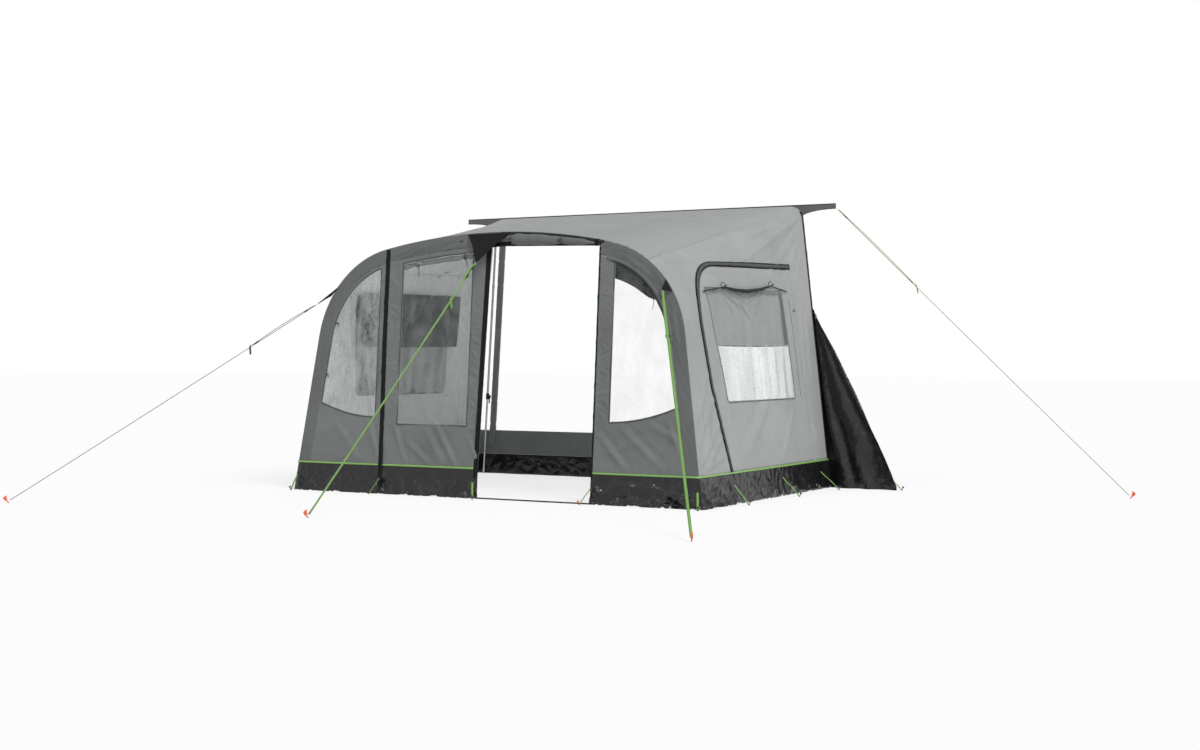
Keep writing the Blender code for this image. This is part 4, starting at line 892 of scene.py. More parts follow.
def rounded(points, radii, count):
    """An outline whose corners are turned to arcs."""
    outline = []
    for i, point in enumerate(points):
        radius = radii[i]
        corner = Vector(point)
        if radius <= 0.0:
            outline.append(point)
            continue
        before = (Vector(points[i - 1]) - corner).normalized()
        after = (Vector(points[(i + 1) % len(points)]) - corner).normalized()
        half = before.angle(after) / 2
        start, end = corner + before * radius / math.tan(half), corner + after * radius / math.tan(half)
        centre = corner + (before + after).normalized() * radius / math.sin(half)
        for share in steps(0.0, 1.0, count):
            arm = (start - centre).lerp(end - centre, share).normalized() * radius
            outline.append(tuple(centre + arm))
    return outline


def from_rail(points, radii, count=8):
    """A rounded outline on a side wall, from points given by their distance from the rail and height."""
    return rounded([(RAIL_Y - d, z) for d, z in points], radii, count)


SIDE_DOOR_YZ = from_rail([(1.955, 0.242), (2.125, 0.90), (2.215, 1.852), (0.42, 1.886), (0.30, 0.242)],
                         [0.0, 0.0, 0.44, 0.0, 0.0], 14)
SIDE_WINDOW_YZ = from_rail([(1.875, 0.78), (0.568, 0.78), (0.640, 1.67), (2.02, 1.67)], [0.03] * 4, 4)


def grown(outline, distance):
    """An outline moved outwards, or inwards where the distance is below zero."""
    middle = Vector((sum(p[0] for p in outline), sum(p[1] for p in outline))) / len(outline)
    moved = []
    for i, point in enumerate(outline):
        before, after = Vector(outline[i - 1]), Vector(outline[(i + 1) % len(outline)])
        along = (after - before).normalized()
        normal = Vector((along.y, -along.x))
        if normal.dot(Vector(point) - middle) < 0:
            normal = -normal
        moved.append(tuple(Vector(point) + normal * distance))
    return moved


WALL_HEIGHT = 2.05
WALL_DEPTH = 2.55
FOOT_W = 3.0


def side_sheet(side, outline=None, hole=None, cell=0.019, extra=None, inwards=0.0):
    """A sheet of a side wall: part of the canopy, cut as seen from the side."""
    rows, columns = round(WALL_HEIGHT / cell), round(WALL_DEPTH / cell)

    def place(s, t):
        w = SEAM_W + (FOOT_W - SEAM_W) * s if side > 0 else -(FOOT_W + (SEAM_W - FOOT_W) * s)
        return canopy(w, t)

    bm = grid(rows, columns, place)
    if outline:
        low_z = min(p[1] for p in outline) - 2 * cell
        far = [v for v in bm.verts if v.co.z < low_z or not (
            min(p[0] for p in outline) - 2 * cell < v.co.y < max(p[0] for p in outline) + 2 * cell)]
        bmesh.ops.delete(bm, geom=far, context="VERTS")
        cut(bm, outline, (1, 2), True, cell)
    if hole:
        cut(bm, hole, (1, 2), False, cell)
    add_uv(bm, lambda co: (co.y, co.z))
    area = sheet_area(bm)
    push_out(bm, lambda co: side_lift(side, co.y, co.z) - inwards + (extra(co.y, co.z) if extra else 0.0))
    return bm, area


def pane_extra(y, z):
    """The film hangs in soft upright ripples from its top seam."""
    inner = fade(edge_distance(SIDE_WINDOW_YZ, y, z) - 0.002, 0.06)
    ripple = math.sin(math.tau * (y / 0.16 + 0.5 * uneven(y * 2.0, z * 1.2, 5.0)))
    small = uneven(y * 22.0, z * 6.0, 6.0)
    return inner * (0.0035 * ripple + 0.0016 * small)


for label, side in SIDES:
    bm, area = side_sheet(side, hole=SIDE_DOOR_YZ)
    cloth(bm, "wall_" + label, SIDE_CLOTH, "awning", (2.6, 2.1), area, "side_wall_" + label,
          lining=PALE_LINING)
    leaf = grown(SIDE_DOOR_YZ, -0.0022)
    bm, leaf_area = side_sheet(side, leaf, SIDE_WINDOW_YZ)
    cloth(bm, "door_" + label, SIDE_CLOTH, "door_" + label, (1.95, 1.65), leaf_area,
          "side_door_" + label, lining=PALE_LINING)
    bm, pane_area = side_sheet(side, SIDE_WINDOW_YZ, cell=0.016, extra=pane_extra, inwards=0.0006)
    # The left pane's dark film is painted shade.
    film = SIDE_FILM if side > 0 else PAINTED_SHADE_FILM
    cloth(bm, "door_window_" + label, film, "door_" + label, (1.46, 0.90), pane_area,
          "side_door_window_" + label, thickness=FILM_THICKNESS)
    print(label, "wall", round(area, 2), "door", round(leaf_area, 2), "window", round(pane_area, 2), "m2")

bm = grid(150, 110, lambda s, t: canopy(-SEAM_W + 2 * SEAM_W * s, t))
add_uv(bm, lambda co: (co.x, co.y))
area = sheet_area(bm)
push_out(bm, lambda co: roof_lift(*co))
cloth(bm, "roof", ROOF_CLOTH, "awning", (3.75, 2.45), area, "roof_panel",
      lining=PALE_LINING)
print("roof", round(area, 2), "m2")

# %% [markdown]
# ## Curtains behind the side windows
#
# Each side window has a curtain of thin cloth on its inner side, half let down, so that its hem crosses
# the window at half height. It hangs free, so it falls in soft upright folds that widen towards the hem,
# and it pulls into slanting creases below its top corners.

# %% Side curtains
CURTAIN_CREASES = (
    (1.73, 1.68, 1.37, 1.50, 0.013, 0.016),
    (1.62, 1.66, 1.24, 1.56, 0.012, 0.014),
    (1.70, 1.63, 1.52, 1.46, 0.011, 0.013),
    (0.90, 1.68, 1.20, 1.46, 0.013, 0.015),
    (1.02, 1.66, 1.33, 1.54, 0.011, 0.014),
    (1.08, 1.62, 1.16, 1.44, 0.011, 0.012),
    (1.45, 1.62, 1.22, 1.42, 0.013, 0.014),
)


def curtain_place(side, share, down):
    low_z, top_z = CURTAIN_HEM_Z, CURTAIN_TOP_Z
    z = low_z + (top_z - low_z) * down - 0.006 * math.sin(math.pi * share) * (1.0 - down)
    front = 1.875 + 0.145 * (z - 0.78) / 0.89
    d = 0.500 + (front - 0.520) * share
    folds = 0.6 * math.sin(share * math.tau * 4 + 1.3 * math.sin(share * 9.0) + 0.8 * down)
    folds += 0.5 * math.sin(share * math.tau * 2 + 1.0 + 2.0 * down)
    inwards = 0.0230 + 0.0075 * (1.3 + folds) * (0.35 + 0.65 * (1.0 - 0.6 * down))
    inwards -= sum(crease(d, z, line) for line in CURTAIN_CREASES)
    point = wall_point(RAIL_Y - d, z)
    return Vector(((point.x - inwards) * side, point.y, point.z))


for label, side in SIDES:
    bm = grid(180, 60, lambda s, t: curtain_place(side, s, t))
    if side > 0:
        bmesh.ops.reverse_faces(bm, faces=bm.faces)
    add_uv(bm, lambda co: (co.y, co.z))
    hanging = sheet_area(bm)
    # The curtain's inner face is painted dark: painted shade.
    cloth(bm, "door_curtain_" + label, CURTAIN_CLOTH, "door_" + label, (1.75, 0.52), None,
          "side_door_curtain_" + label, thickness=0.0007, lining=PAINTED_SHADE_CLOTH)
print("curtain", round(hanging, 3), "m2 as it hangs")

# %% [markdown]
# ## Tapes, tubes and turned pieces
#
# The trim is long and thin: zips under flaps of black tape, green piping along every seam with the mud
# wall, flat straps and elastic cords. Each one is a grid laid along a path, flat for a tape and closed
# into a tube for a piping or a cord. Small moulded pieces are profiles spun about their own axis.

# %% Helpers for trim
def path_frames(points, outward):
    """Point, sideways and outward directions along a path; outward is a vector or a function of the index."""
    frames = []
    last = len(points) - 1
    for i, point in enumerate(points):
        tangent = (points[min(i + 1, last)] - points[max(i - 1, 0)]).normalized()
        out = outward(i) if callable(outward) else outward
        across = tangent.cross(out).normalized()
        frames.append((point, across, across.cross(tangent).normalized()))
    return frames


def path_length(points):
    return sum((b - a).length for a, b in zip(points, points[1:]))


def even_path(points, spacing):
    """The same path with points about a given spacing apart."""
    even = [points[0].copy()]
    for a, b in zip(points, points[1:]):
        parts = max(1, round((b - a).length / spacing))
        even += [a.lerp(b, share) for share in steps(0.0, 1.0, parts)[1:]]
    return even


def ribbon(points, outward, width, crown=0.0, wave=0.0, columns=4, seed=0.0):
    """A tape along a path: crown raises its middle and wave makes its outer face wander."""
    frames = path_frames(points, outward)
    last = len(points) - 1
    bm = bmesh.new()
    uv = bm.loops.layers.uv.new("UVMap")
    bmesh.ops.create_grid(bm, x_segments=columns, y_segments=last, size=0.5)
    length = path_length(points)
    for face in bm.faces:
        for loop in face.loops:
            loop[uv].uv = ((loop.vert.co.x + 0.5) * width, (loop.vert.co.y + 0.5) * length)
    for vert in bm.verts:
        s, index = vert.co.x + 0.5, round((vert.co.y + 0.5) * last)
        point, across, out = frames[index]
        wander = wave * uneven(index * 0.35, s * 1.5, seed)
        vert.co = (point + across * ((s - 0.5) * width + 0.6 * wander)
                   + out * (crown * math.sin(math.pi * s) ** 0.7 + abs(wander)))
    return bm


def tube(points, radius, sides=10, outward=Vector((0, 0, 1)), shape=None):
    """A closed tube along a path; shape(share, angle) scales its radius."""
    frames = path_frames(points, outward)
    last = len(points) - 1
    bm = bmesh.new()
    bmesh.ops.create_grid(bm, x_segments=last, y_segments=sides, size=0.5)
    for vert in bm.verts:
        index, angle = round((vert.co.x + 0.5) * last), math.tau * (vert.co.y + 0.5)
        point, across, out = frames[index]
        reach = radius * (shape(index / last, angle) if shape else 1.0)
        vert.co = point + (across * math.cos(angle) + out * math.sin(angle)) * reach
    bmesh.ops.remove_doubles(bm, verts=bm.verts, dist=0.00001)
    bmesh.ops.holes_fill(bm, edges=[edge for edge in bm.edges if edge.is_boundary])
    bmesh.ops.recalc_face_normals(bm, faces=bm.faces)
    return bm


def spun(profile, place, count):
    """A closed profile of radius and height, spun about the Z axis of its place."""
    bm = bmesh.new()
    verts = [bm.verts.new((radius, 0.0, height)) for radius, height in profile]
    edges = [bm.edges.new(pair) for pair in zip(verts, verts[1:])]
    bmesh.ops.spin(bm, geom=verts + edges, axis=(0, 0, 1), cent=(0, 0, 0), angle=math.tau, steps=count,
                   use_merge=True)
    bmesh.ops.remove_doubles(bm, verts=bm.verts, dist=0.00001)
    bmesh.ops.recalc_face_normals(bm, faces=bm.faces)
    bmesh.ops.transform(bm, matrix=place, verts=bm.verts)
    return bm


def facing(point, z_axis):
    """A matrix at a point whose Z axis follows a direction, with its X axis as upright as it can be."""
    z_axis = Vector(z_axis).normalized()
    x_axis = Vector((0, 0, 1)) - z_axis * z_axis.z
    if x_axis.length < 0.001:
        x_axis = Vector((1, 0, 0)) - z_axis * z_axis.x
    x_axis.normalize()
    matrix = Matrix((x_axis, z_axis.cross(x_axis), z_axis)).transposed().to_4x4()
    matrix.translation = point
    return matrix


def add_mesh(target, source):
    """Adds one bmesh to another and frees it."""
    mesh = bpy.data.meshes.new("part")
    source.to_mesh(mesh)
    source.free()
    target.from_mesh(mesh)
    bpy.data.meshes.remove(mesh)


def toggle(point, axis, length=0.038):
    """A moulded barrel toggle with a waist where its cord is tied."""
    half = length / 2
    profile = [(0.0, -half), (0.0035, -half), (0.0052, -half + 0.002), (0.0055, -0.006), (0.0038, -0.003),
               (0.0038, 0.003), (0.0055, 0.006), (0.0052, half - 0.002), (0.0035, half), (0.0, half)]
    return spun(profile, facing(point, axis), 16)


def trim(bm, name, material, body="awning", thickness=None):
    """A small piece: a tape, a strap, a piping or a cord."""
    obj = make_object(bm, name, material, body)
    if thickness:
        thicken(obj, thickness)
    return obj


def fitting(bm, name, body="awning", material=BLACK_NYLON):
    """A small moulded piece."""
    return trim(bm, name, material, body)


FRONT_OUT = Vector((0, -1, LEAN)).normalized()
print("front wall faces", tuple(round(v, 3) for v in FRONT_OUT))

# %% [markdown]
# ## The rolled door, the rolled curtain and the tied-back curtain
#
# The doorway's panel is rolled up from its foot and hangs under the arch from two loops with toggles.
# A rolled sheet is a spiral, so these rolls are spirals with a real number of turns, squeezed where the
# toggles hold them, and the spiral shows at their ends.

# %% Rolls
def rolled(points, outward, outer, inner, pitch, squeeze, turns_sides=18, seed=0.0):
    """A sheet rolled up along a path, from its inner edge to its outer one; gives the sheet's length too."""
    turns = (outer - inner) / pitch
    frames = path_frames(points, outward)
    last, parts = len(points) - 1, round(turns * turns_sides)
    length = math.pi * (outer + inner) * turns

    def place(s, t):
        index = round(s * last)
        point, across, out = frames[index]
        angle = math.tau * turns * t
        lobe = 1.0 + 0.06 * uneven(index * 0.22, math.cos(angle) * 0.8, math.sin(angle) * 0.8 + seed)
        reach = (inner + (outer - inner) * t) * squeeze(point) * lobe
        return point + across * math.cos(angle) * reach + out * math.sin(angle) * reach

    bm = grid(last, parts, place)
    return bm, length


def pinch(x, toggles, width=0.045):
    return max(math.exp(-((x - t) / width) ** 2) for t in toggles)


ROLL_TOGGLES = (0.19, 0.66)
ROLL_OUT = 0.048


def header_z(x):
    """The doorway's head is cut straight."""
    return HEADER_LEFT_Z + (HEADER_RIGHT_Z - HEADER_LEFT_Z) * (x - DOOR_LEFT_X) / (DOOR_RIGHT_X - DOOR_LEFT_X)


def roll_span(x):
    """Lowest and highest point of the roll: straight below, under the arch above."""
    return header_z(x) - 0.004 + 0.014 * pinch(x, ROLL_TOGGLES), ARCH.crown_z(x) - 0.020


def door_squeeze(point):
    x = point.x
    low, high = roll_span(x)
    taper = min(1.0, 0.45 + 7.0 * min(x - 0.155, 0.95 - x))
    crumple = 1.0 + 0.05 * math.sin(31.0 * x) + 0.06 * uneven(x * 22.0, 0.0, 2.0)
    return (high - low) / 2 / 0.042 * (1.0 - 0.12 * pinch(x, ROLL_TOGGLES)) * taper * crumple


roll_path = [front_place(x, sum(roll_span(x)) / 2, ROLL_OUT) for x in steps(0.155, 0.95, 96)]
bm, length = rolled(roll_path, FRONT_OUT, 0.040, 0.008, 0.0025, door_squeeze, seed=3.0)
add_uv(bm, lambda co: (co.x, co.z))
cloth(bm, "door_roll", BAND_CLOTH, "awning", (0.80, round(length, 2)), None, "front_door_roll",
      thickness=0.0006)
print("door roll holds", round(length, 2), "m of cloth")

CURTAIN_TOGGLES = (-0.78, -0.30)
curtain_path = []
for x in steps(-0.915, -0.18, 48):
    z = ARCH.crown_z(x) - BAND_WIDTH - 0.058 - 0.008 * (1 - pinch(x, CURTAIN_TOGGLES))
    curtain_path.append(front_place(x, z, -0.027))
bm, length = rolled(curtain_path, FRONT_OUT, 0.022, 0.006, 0.0024,
                    lambda p: 1.0 - 0.3 * pinch(p.x, CURTAIN_TOGGLES) + 0.06 * math.sin(40 * p.x), seed=6.0)
add_uv(bm, lambda co: (co.x, co.z))
cloth(bm, "window_curtain_roll", FRONT_CLOTH, "awning", (0.75, round(length, 2)), None,
      "front_curtain_roll", thickness=0.0006)
print("window curtain roll holds", round(length, 2), "m of cloth")

# %% [markdown]
# The right window's curtain is swept to the side and tied in its middle, so it is a bundle of pleats that
# follows the arch, thick above its tie and thin below.

# %% Tied-back curtain
TIE_W = 1.62
tie_path, tie_half = [], []
for w in steps(1.02, 2.25, 90):
    share = (w - 1.02) / (TIE_W - 1.02)
    if share < 1.0:
        low = 0.262 - 0.020 * share - 0.050 * share ** 3
    else:
        low = 0.175 - 0.006 * min(1.0, (share - 1.0) / 0.2)
    middle, half = (0.138 + low) / 2, (low - 0.138) / 2
    half *= 1.0 - 0.40 * math.exp(-((w - TIE_W) / 0.04) ** 2)
    x, z = ARCH.inset(middle).point(w)
    tie_path.append(front_place(x, z, -0.032))
    tie_half.append(half)


def pleats(share, angle):
    """The bundle's reach from its middle line: as wide as the gap that it fills and two fingers thick."""
    half = tie_half[round(share * 90)]
    deep = 0.016 if half > 0.02 else 0.011
    oval = (abs(math.cos(angle) / half) ** 2.4 + abs(math.sin(angle) / deep) ** 2.4) ** (-1.0 / 2.4)
    folds = 0.13 * math.sin(9 * angle + 3.0 * share) + 0.07 * math.sin(17 * angle - 9.0 * share)
    return oval * (1.0 + folds) / 0.03


bm = tube(tie_path, 0.03, sides=80, outward=FRONT_OUT, shape=pleats)
bundle_area = sheet_area(bm)
# The bundle's near-black is painted shade.
bundle = make_object(bm, "tied_curtain", TIED_CURTAIN_PAINTED_SHADE, "awning")
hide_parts("front_curtain_tieback")
x, z = ARCH.inset(0.155).point(TIE_W)
tie_loop = [front_place(x + 0.022 * math.cos(a), z + 0.022 * math.sin(a), -0.030 + 0.020 * math.sin(2 * a))
            for a in steps(0.0, math.tau * 0.98, 24)]
bm = tube(tie_loop, 0.002, 6, FRONT_OUT)
tail = [front_place(x - 0.012 - 0.012 * s, z - 0.02 - 0.075 * s, -0.012 - 0.004 * s)
        for s in steps(0.0, 1.0, 6)]
add_mesh(bm, tube(tail, 0.0024, 6, FRONT_OUT))
add_mesh(bm, toggle(front_place(x - 0.006, z - 0.010, -0.012), (0.7, 0, 0.7), 0.035))
fitting(bm, "tied_curtain_tie")
print("bundle surface", round(bundle_area, 3), "m2")

# %% [markdown]
# ## Mud walls
#
# A strip of vinyl coated sheet runs round the foot of the awning and keeps splashes out. It is stiffer and
# heavier than the cloth, hangs from the piping, and crumples where it meets the ground and at the front
# corners. Across the doorway only a narrow strap is left, which lies nearly flat.

# %% Mud walls and the threshold
def mud_lift(run, z, seed):
    """Crumples of the vinyl: they start below the seam and are strongest near the ground."""
    hold = fade(MUD_TOP - z - 0.003, 0.05) * (0.30 + 0.70 * fade(0.18 - z, 0.12))
    folds = 1.0 - 2.4 * abs(uneven(run * 5.5 + z * 3.0, z * 7.0, seed))
    small = 1.0 - 2.4 * abs(uneven(run * 15.0 - z * 9.0, z * 18.0, seed + 2.0))
    return hold * (0.0250 * folds + 0.0110 * small - 0.008)


def ragged_hem(run, z, seed):
    """The sheet's foot is uneven: it lies on the ground here and stands a finger clear there."""
    rag = 0.016 * uneven(run * 7.0, seed, 1.0) + 0.020 * uneven(run * 33.0, seed, 2.0)
    return max(0.0, rag) * (1.0 - fade(z, 0.07))


def front_mud_lift(x, z):
    outer = ARCH.depth(x, z)
    strength = 1.0 + 0.6 * fade(x - 1.3, 0.3) if x > 0.5 else 0.6
    lift = mud_lift(x, z, 41.0) * fade(outer - 0.001, 0.04) * strength
    return lift * (0.5 + 0.5 * fade(z - 0.002, 0.02))


foot = ARCH.inset(0.0012)
STRAP_TOP = 0.012
MUD = [(-foot.half_base, GROUND_GAP), (foot.half_base, GROUND_GAP),
       (foot.half_base - foot.splay * MUD_TOP, MUD_TOP), (DOOR_RIGHT_X, MUD_TOP), (DOOR_RIGHT_X, STRAP_TOP),
       (DOOR_LEFT_LOW_X, STRAP_TOP), (DOOR_LEFT_LOW_X, MUD_TOP),
       (-foot.half_base + foot.splay * MUD_TOP, MUD_TOP)]
bm, area = front_sheet(MUD, cell=0.011, lift=front_mud_lift)
for vert in bm.verts:
    if not DOOR_LEFT_LOW_X < vert.co.x < DOOR_RIGHT_X:
        vert.co.z += ragged_hem(vert.co.x, vert.co.z, 43.0)
cloth(bm, "mud_sheet_front", MUD_SHEET, "awning", (3.9, 0.25), area, "front_mud_wall",
      thickness=VINYL)

for label, side in SIDES:
    def place(s, t, side=side):
        w = 3.0 + s if side > 0 else -4.0 + s
        return canopy(w, t)
    bm = grid(18, 210, place)
    add_uv(bm, lambda co: (co.y, co.z))
    bm.normal_update()
    moves = []
    for vert in bm.verts:
        y, z = vert.co.y, vert.co.z
        hold = fade(y - FRONT_Y - 0.003, 0.05) * fade(RAIL_Y - y - 0.006, 0.06)
        calm = 0.34 + 1.0 * fade(FRONT_Y + 0.75 - y, 0.45)
        move = vert.normal * mud_lift(y, z, 47.0 + side) * hold * calm
        moves.append((vert, move + Vector((0, 0, ragged_hem(y, z, 44.0 + side)))))
    for vert, move in moves:
        vert.co += move
        vert.co.z = max(vert.co.z, GROUND_GAP)
    cloth(bm, "mud_sheet_" + label, MUD_SHEET, "awning", (2.56, 0.25), None,
          "side_mud_wall_" + label, thickness=VINYL)
print("mud walls made")

# %% [markdown]
# ## Closing the gaps at the wall
#
# The tape along the rear edge slides into the wall's rail. Behind each upright a foam pad presses on the
# wall, a wedge of coated sheet closes the gap at the corner, and a skirt hangs along the ground.

# %% Keder tape, flaps, skirt and pads
REAR_SHEET_Y = RAIL_Y - 0.0025


def rear_edge_x(z):
    """The rear edge of a side wall leans in from the ground up to the rail."""
    return 1.88 - 0.28 / RAIL_Z * z


def rear_sheet(outline, lift, cell=0.02):
    """A sheet in the plane of the wall; its lift stands towards the front."""
    bm = upright_sheet(outline, cell)
    add_uv(bm, lambda co: (co.x, co.z))
    area = sheet_area(bm)
    for vert in bm.verts:
        vert.co.y = REAR_SHEET_Y - lift(vert.co.x, vert.co.z)
    return bm, area


EAR_X = 1.92
EAR_TOP_Z = RAIL_Z - 0.04
EAR_LOW_Z = 2.33
ear = [(EAR_X, RAIL_Z + 0.003), (EAR_X, EAR_TOP_Z)]
for share in steps(0.0, 1.0, 10)[1:]:
    bend = share * math.pi / 2
    ear.append((EAR_X + (rear_edge_x(EAR_LOW_Z) - 0.02 - EAR_X) * math.sin(bend),
                EAR_TOP_Z - (EAR_TOP_Z - EAR_LOW_Z) * (1.0 - math.cos(bend))))
ear.append((1.55, RAIL_Z - 0.034))
# The ear's darker grey is painted shade.
bm, area = rear_sheet(ear + mirrored(ear), lambda x, z: 0.0006)
cloth(bm, "keder_tape", EAR_CLOTH_PAINTED_SHADE, "awning", (3.84, round(area / 3.84, 3)), None, "keder_strip",
      thickness=0.0016)
bead_path = [Vector((x, REAR_SHEET_Y + 0.001, RAIL_Z + 0.0045)) for x in steps(-1.917, 1.917, 60)]
trim(tube(bead_path, 0.0035, 10), "keder_bead", PATCH_CLOTH)


FLAP_TOP = 1.567


def flap_lift(side):
    """Lift of a draught flap: upright folds that fan out from its top, and small crumples."""
    def lift(x, z):
        x = abs(x)
        reach = max(0.05, 0.66 * (1.0 - z / FLAP_TOP))
        share = (x - rear_edge_x(z)) / reach
        folds = math.sin(math.tau * (2.3 * share + 0.5 * uneven(share * 2, z * 1.5, 51.0 + side)))
        ridges = 1.0 - 2.4 * abs(uneven(x * 6.0, z * 2.6, 55.0))
        small = 1.0 - 2.4 * abs(uneven(x * 17.0, z * 9.0, 57.0))
        relief = 0.018 * (1.0 + folds) + 0.008 * (1.0 + ridges) + 0.003 * (1.0 + small)
        return 0.0015 + fade(share, 0.2) * (0.45 + 0.55 * fade(1.3 - z, 0.9)) * relief
    return lift


for label, side in SIDES:
    flap = [(rear_edge_x(0.0) + GROUND_GAP, GROUND_GAP), (2.50, GROUND_GAP), (2.50, 0.030), (2.35, 0.34),
            (2.178, 0.700), (1.925, 1.170), (1.80, 1.38), (rear_edge_x(FLAP_TOP) + GROUND_GAP, FLAP_TOP)]
    if side < 0:
        flap = mirrored(flap)
    bm, area = rear_sheet(flap, flap_lift(side), cell=0.016)
    cloth(bm, "flap_" + label, FLAP_SHEET, "awning", (0.80, 1.57), area,
          "draught_flap_" + label, thickness=VINYL)


def skirt_lift(x, z):
    """The skirt hangs in broad waves that die out at its top and at its ends."""
    folds = math.sin(math.tau * (x * 2.7 + 0.5 * uneven(x * 1.3, 0.0, 61.0)))
    return 0.002 + 0.010 * (1.0 + folds) * fade(SKIRT_TOP_Z - z, 0.3) * fade(rear_edge_x(z) - abs(x), 0.1)


SKIRT_SPLIT = 0.19
half = rear_edge_x(SKIRT_SPLIT) - 0.004
top = rear_edge_x(SKIRT_TOP_Z) - 0.004
bm, area = rear_sheet([(-half, SKIRT_SPLIT), (half, SKIRT_SPLIT), (top, SKIRT_TOP_Z), (-top, SKIRT_TOP_Z)],
                      skirt_lift, 0.025)
# The upper skirt's pale grey is partly painted light.
cloth(bm, "draught_skirt_upper", SKIRT_CLOTH_PAINTED_LIGHT, "awning", (3.73, 0.225), area, "draught_skirt",
      thickness=0.001)
low_half = rear_edge_x(0.0) - 0.004
bm, area = rear_sheet([(-low_half, GROUND_GAP), (low_half, GROUND_GAP), (half, SKIRT_SPLIT - 0.0004),
                       (-half, SKIRT_SPLIT - 0.0004)], skirt_lift, 0.025)
cloth(bm, "draught_skirt_lower", FLAP_SHEET, "awning", (3.75, 0.19), area, None,
      thickness=0.001)


def upright_point(side, z):
    """A point on the middle line of a rear upright, at a height."""
    return Vector((side * (1.725 - 0.15 * z / 2.30), RAIL_Y - 0.035, z))


PAD_REACH = 0.03


def pad_shape(share, angle):
    """A rounded oblong, 68 mm by 21 mm, drawn in at each sewn channel."""
    wide, deep = math.cos(angle), math.sin(angle)
    round_square = (abs(wide / 0.0340) ** 4 + abs(deep / 0.0105) ** 4) ** -0.25
    sewn = abs(math.sin(math.pi * share * 9.0))
    return round_square / PAD_REACH * (0.78 + 0.22 * min(1.0, sewn * 5.0) ** 0.5)


for label, side in SIDES:
    low, high = upright_point(side, 0.26), upright_point(side, 2.25)
    shift = Vector((-side * 0.070, 0.0175, 0))
    path = [low.lerp(high, share) + shift for share in steps(0.0, 1.0, 100)]
    bm = tube(path, PAD_REACH, 28, Vector((0, -1, 0)), pad_shape)
    # The pad's pale grey is partly painted light.
    pad = make_object(bm, "pad_" + label, SKIRT_CLOTH_PAINTED_LIGHT, "awning")
    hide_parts("draught_pad_" + label)
print("rear edge made")

# %% [markdown]
# ## Guy straps
#
# Three guys pull the arch forward and one holds the right rear corner. Each is flat webbing: it starts at
# a black webbing patch on the arch, runs through a buckle and a runner that set its length, and ends in a
# ground peg. They are pulled tight, so they are nearly straight.

# %% Guys and their patches
GUYS = {
    "left": ((-1.763, FRONT_Y + 0.085, 1.575), (-2.942, FRONT_Y - 2.192, 0.020)),
    "center": ((-0.061, FRONT_Y - 0.017, 1.886), (-0.158, FRONT_Y - 1.963, 0.020)),
    "right": ((1.583, FRONT_Y + 0.055, 1.640), (2.888, FRONT_Y - 1.959, 0.020)),
    "rear": ((1.928, RAIL_Y - 0.004, 2.405), (4.408, RAIL_Y + 0.097, 0.020)),
}
PATCHES = {"left": ((-1.545, 1.735), (-1.640, 1.640)), "center": ((-0.263, None), (0.150, None)),
           "right": ((1.572, 1.722), (1.632, 1.625))}
BUCKLES = {"left": (0.10, 0.62), "center": (0.06, 0.16), "right": (0.10, 0.62), "rear": (0.10, 0.90)}
WEB_WIDTH = 0.020


def webbing_strap(path, out, name, material, width=WEB_WIDTH):
    """A short end or loop of the same webbing as the guys."""
    trim(ribbon(path, out, width, columns=2), name, material, thickness=WEBBING)


def strap_out(points):
    """Direction that a strap's face looks: up, square to its run."""
    run = (points[-1] - points[0]).normalized()
    up = Vector((0, 0, 1))
    return (up - run * run.dot(up)).normalized()


def buckle(point, run, out, width=0.036, length=0.040):
    """A ladder buckle: a moulded frame with three bars that the strap threads through."""
    bm = bmesh.new()
    bmesh.ops.create_grid(bm, x_segments=7, y_segments=9, size=0.5)
    slots = [face for face in bm.faces
             if abs(face.calc_center_median().x) < 0.34 and
             any(abs(face.calc_center_median().y - row) < 0.08 for row in (-0.222, 0.222))]
    bmesh.ops.delete(bm, geom=slots, context="FACES")
    for vert in bm.verts:
        bow = 0.0015 * math.cos(math.pi * vert.co.y)
        vert.co = Vector((vert.co.x * width, vert.co.y * length, bow))
    bmesh.ops.solidify(bm, geom=bm.faces[:], thickness=0.0035)
    across = run.cross(out).normalized()
    matrix = Matrix((across, run, across.cross(run))).transposed().to_4x4()
    matrix.translation = point
    bmesh.ops.transform(bm, matrix=matrix, verts=bm.verts)
    bmesh.ops.recalc_face_normals(bm, faces=bm.faces)
    return bm


def patch_root(x, z):
    """Where a corner of a patch is sewn on: at a height, or along the arch's edge where none is given."""
    return front_place(x, ARCH.crown_z(x) - 0.006 if z is None else z, 0.0022)


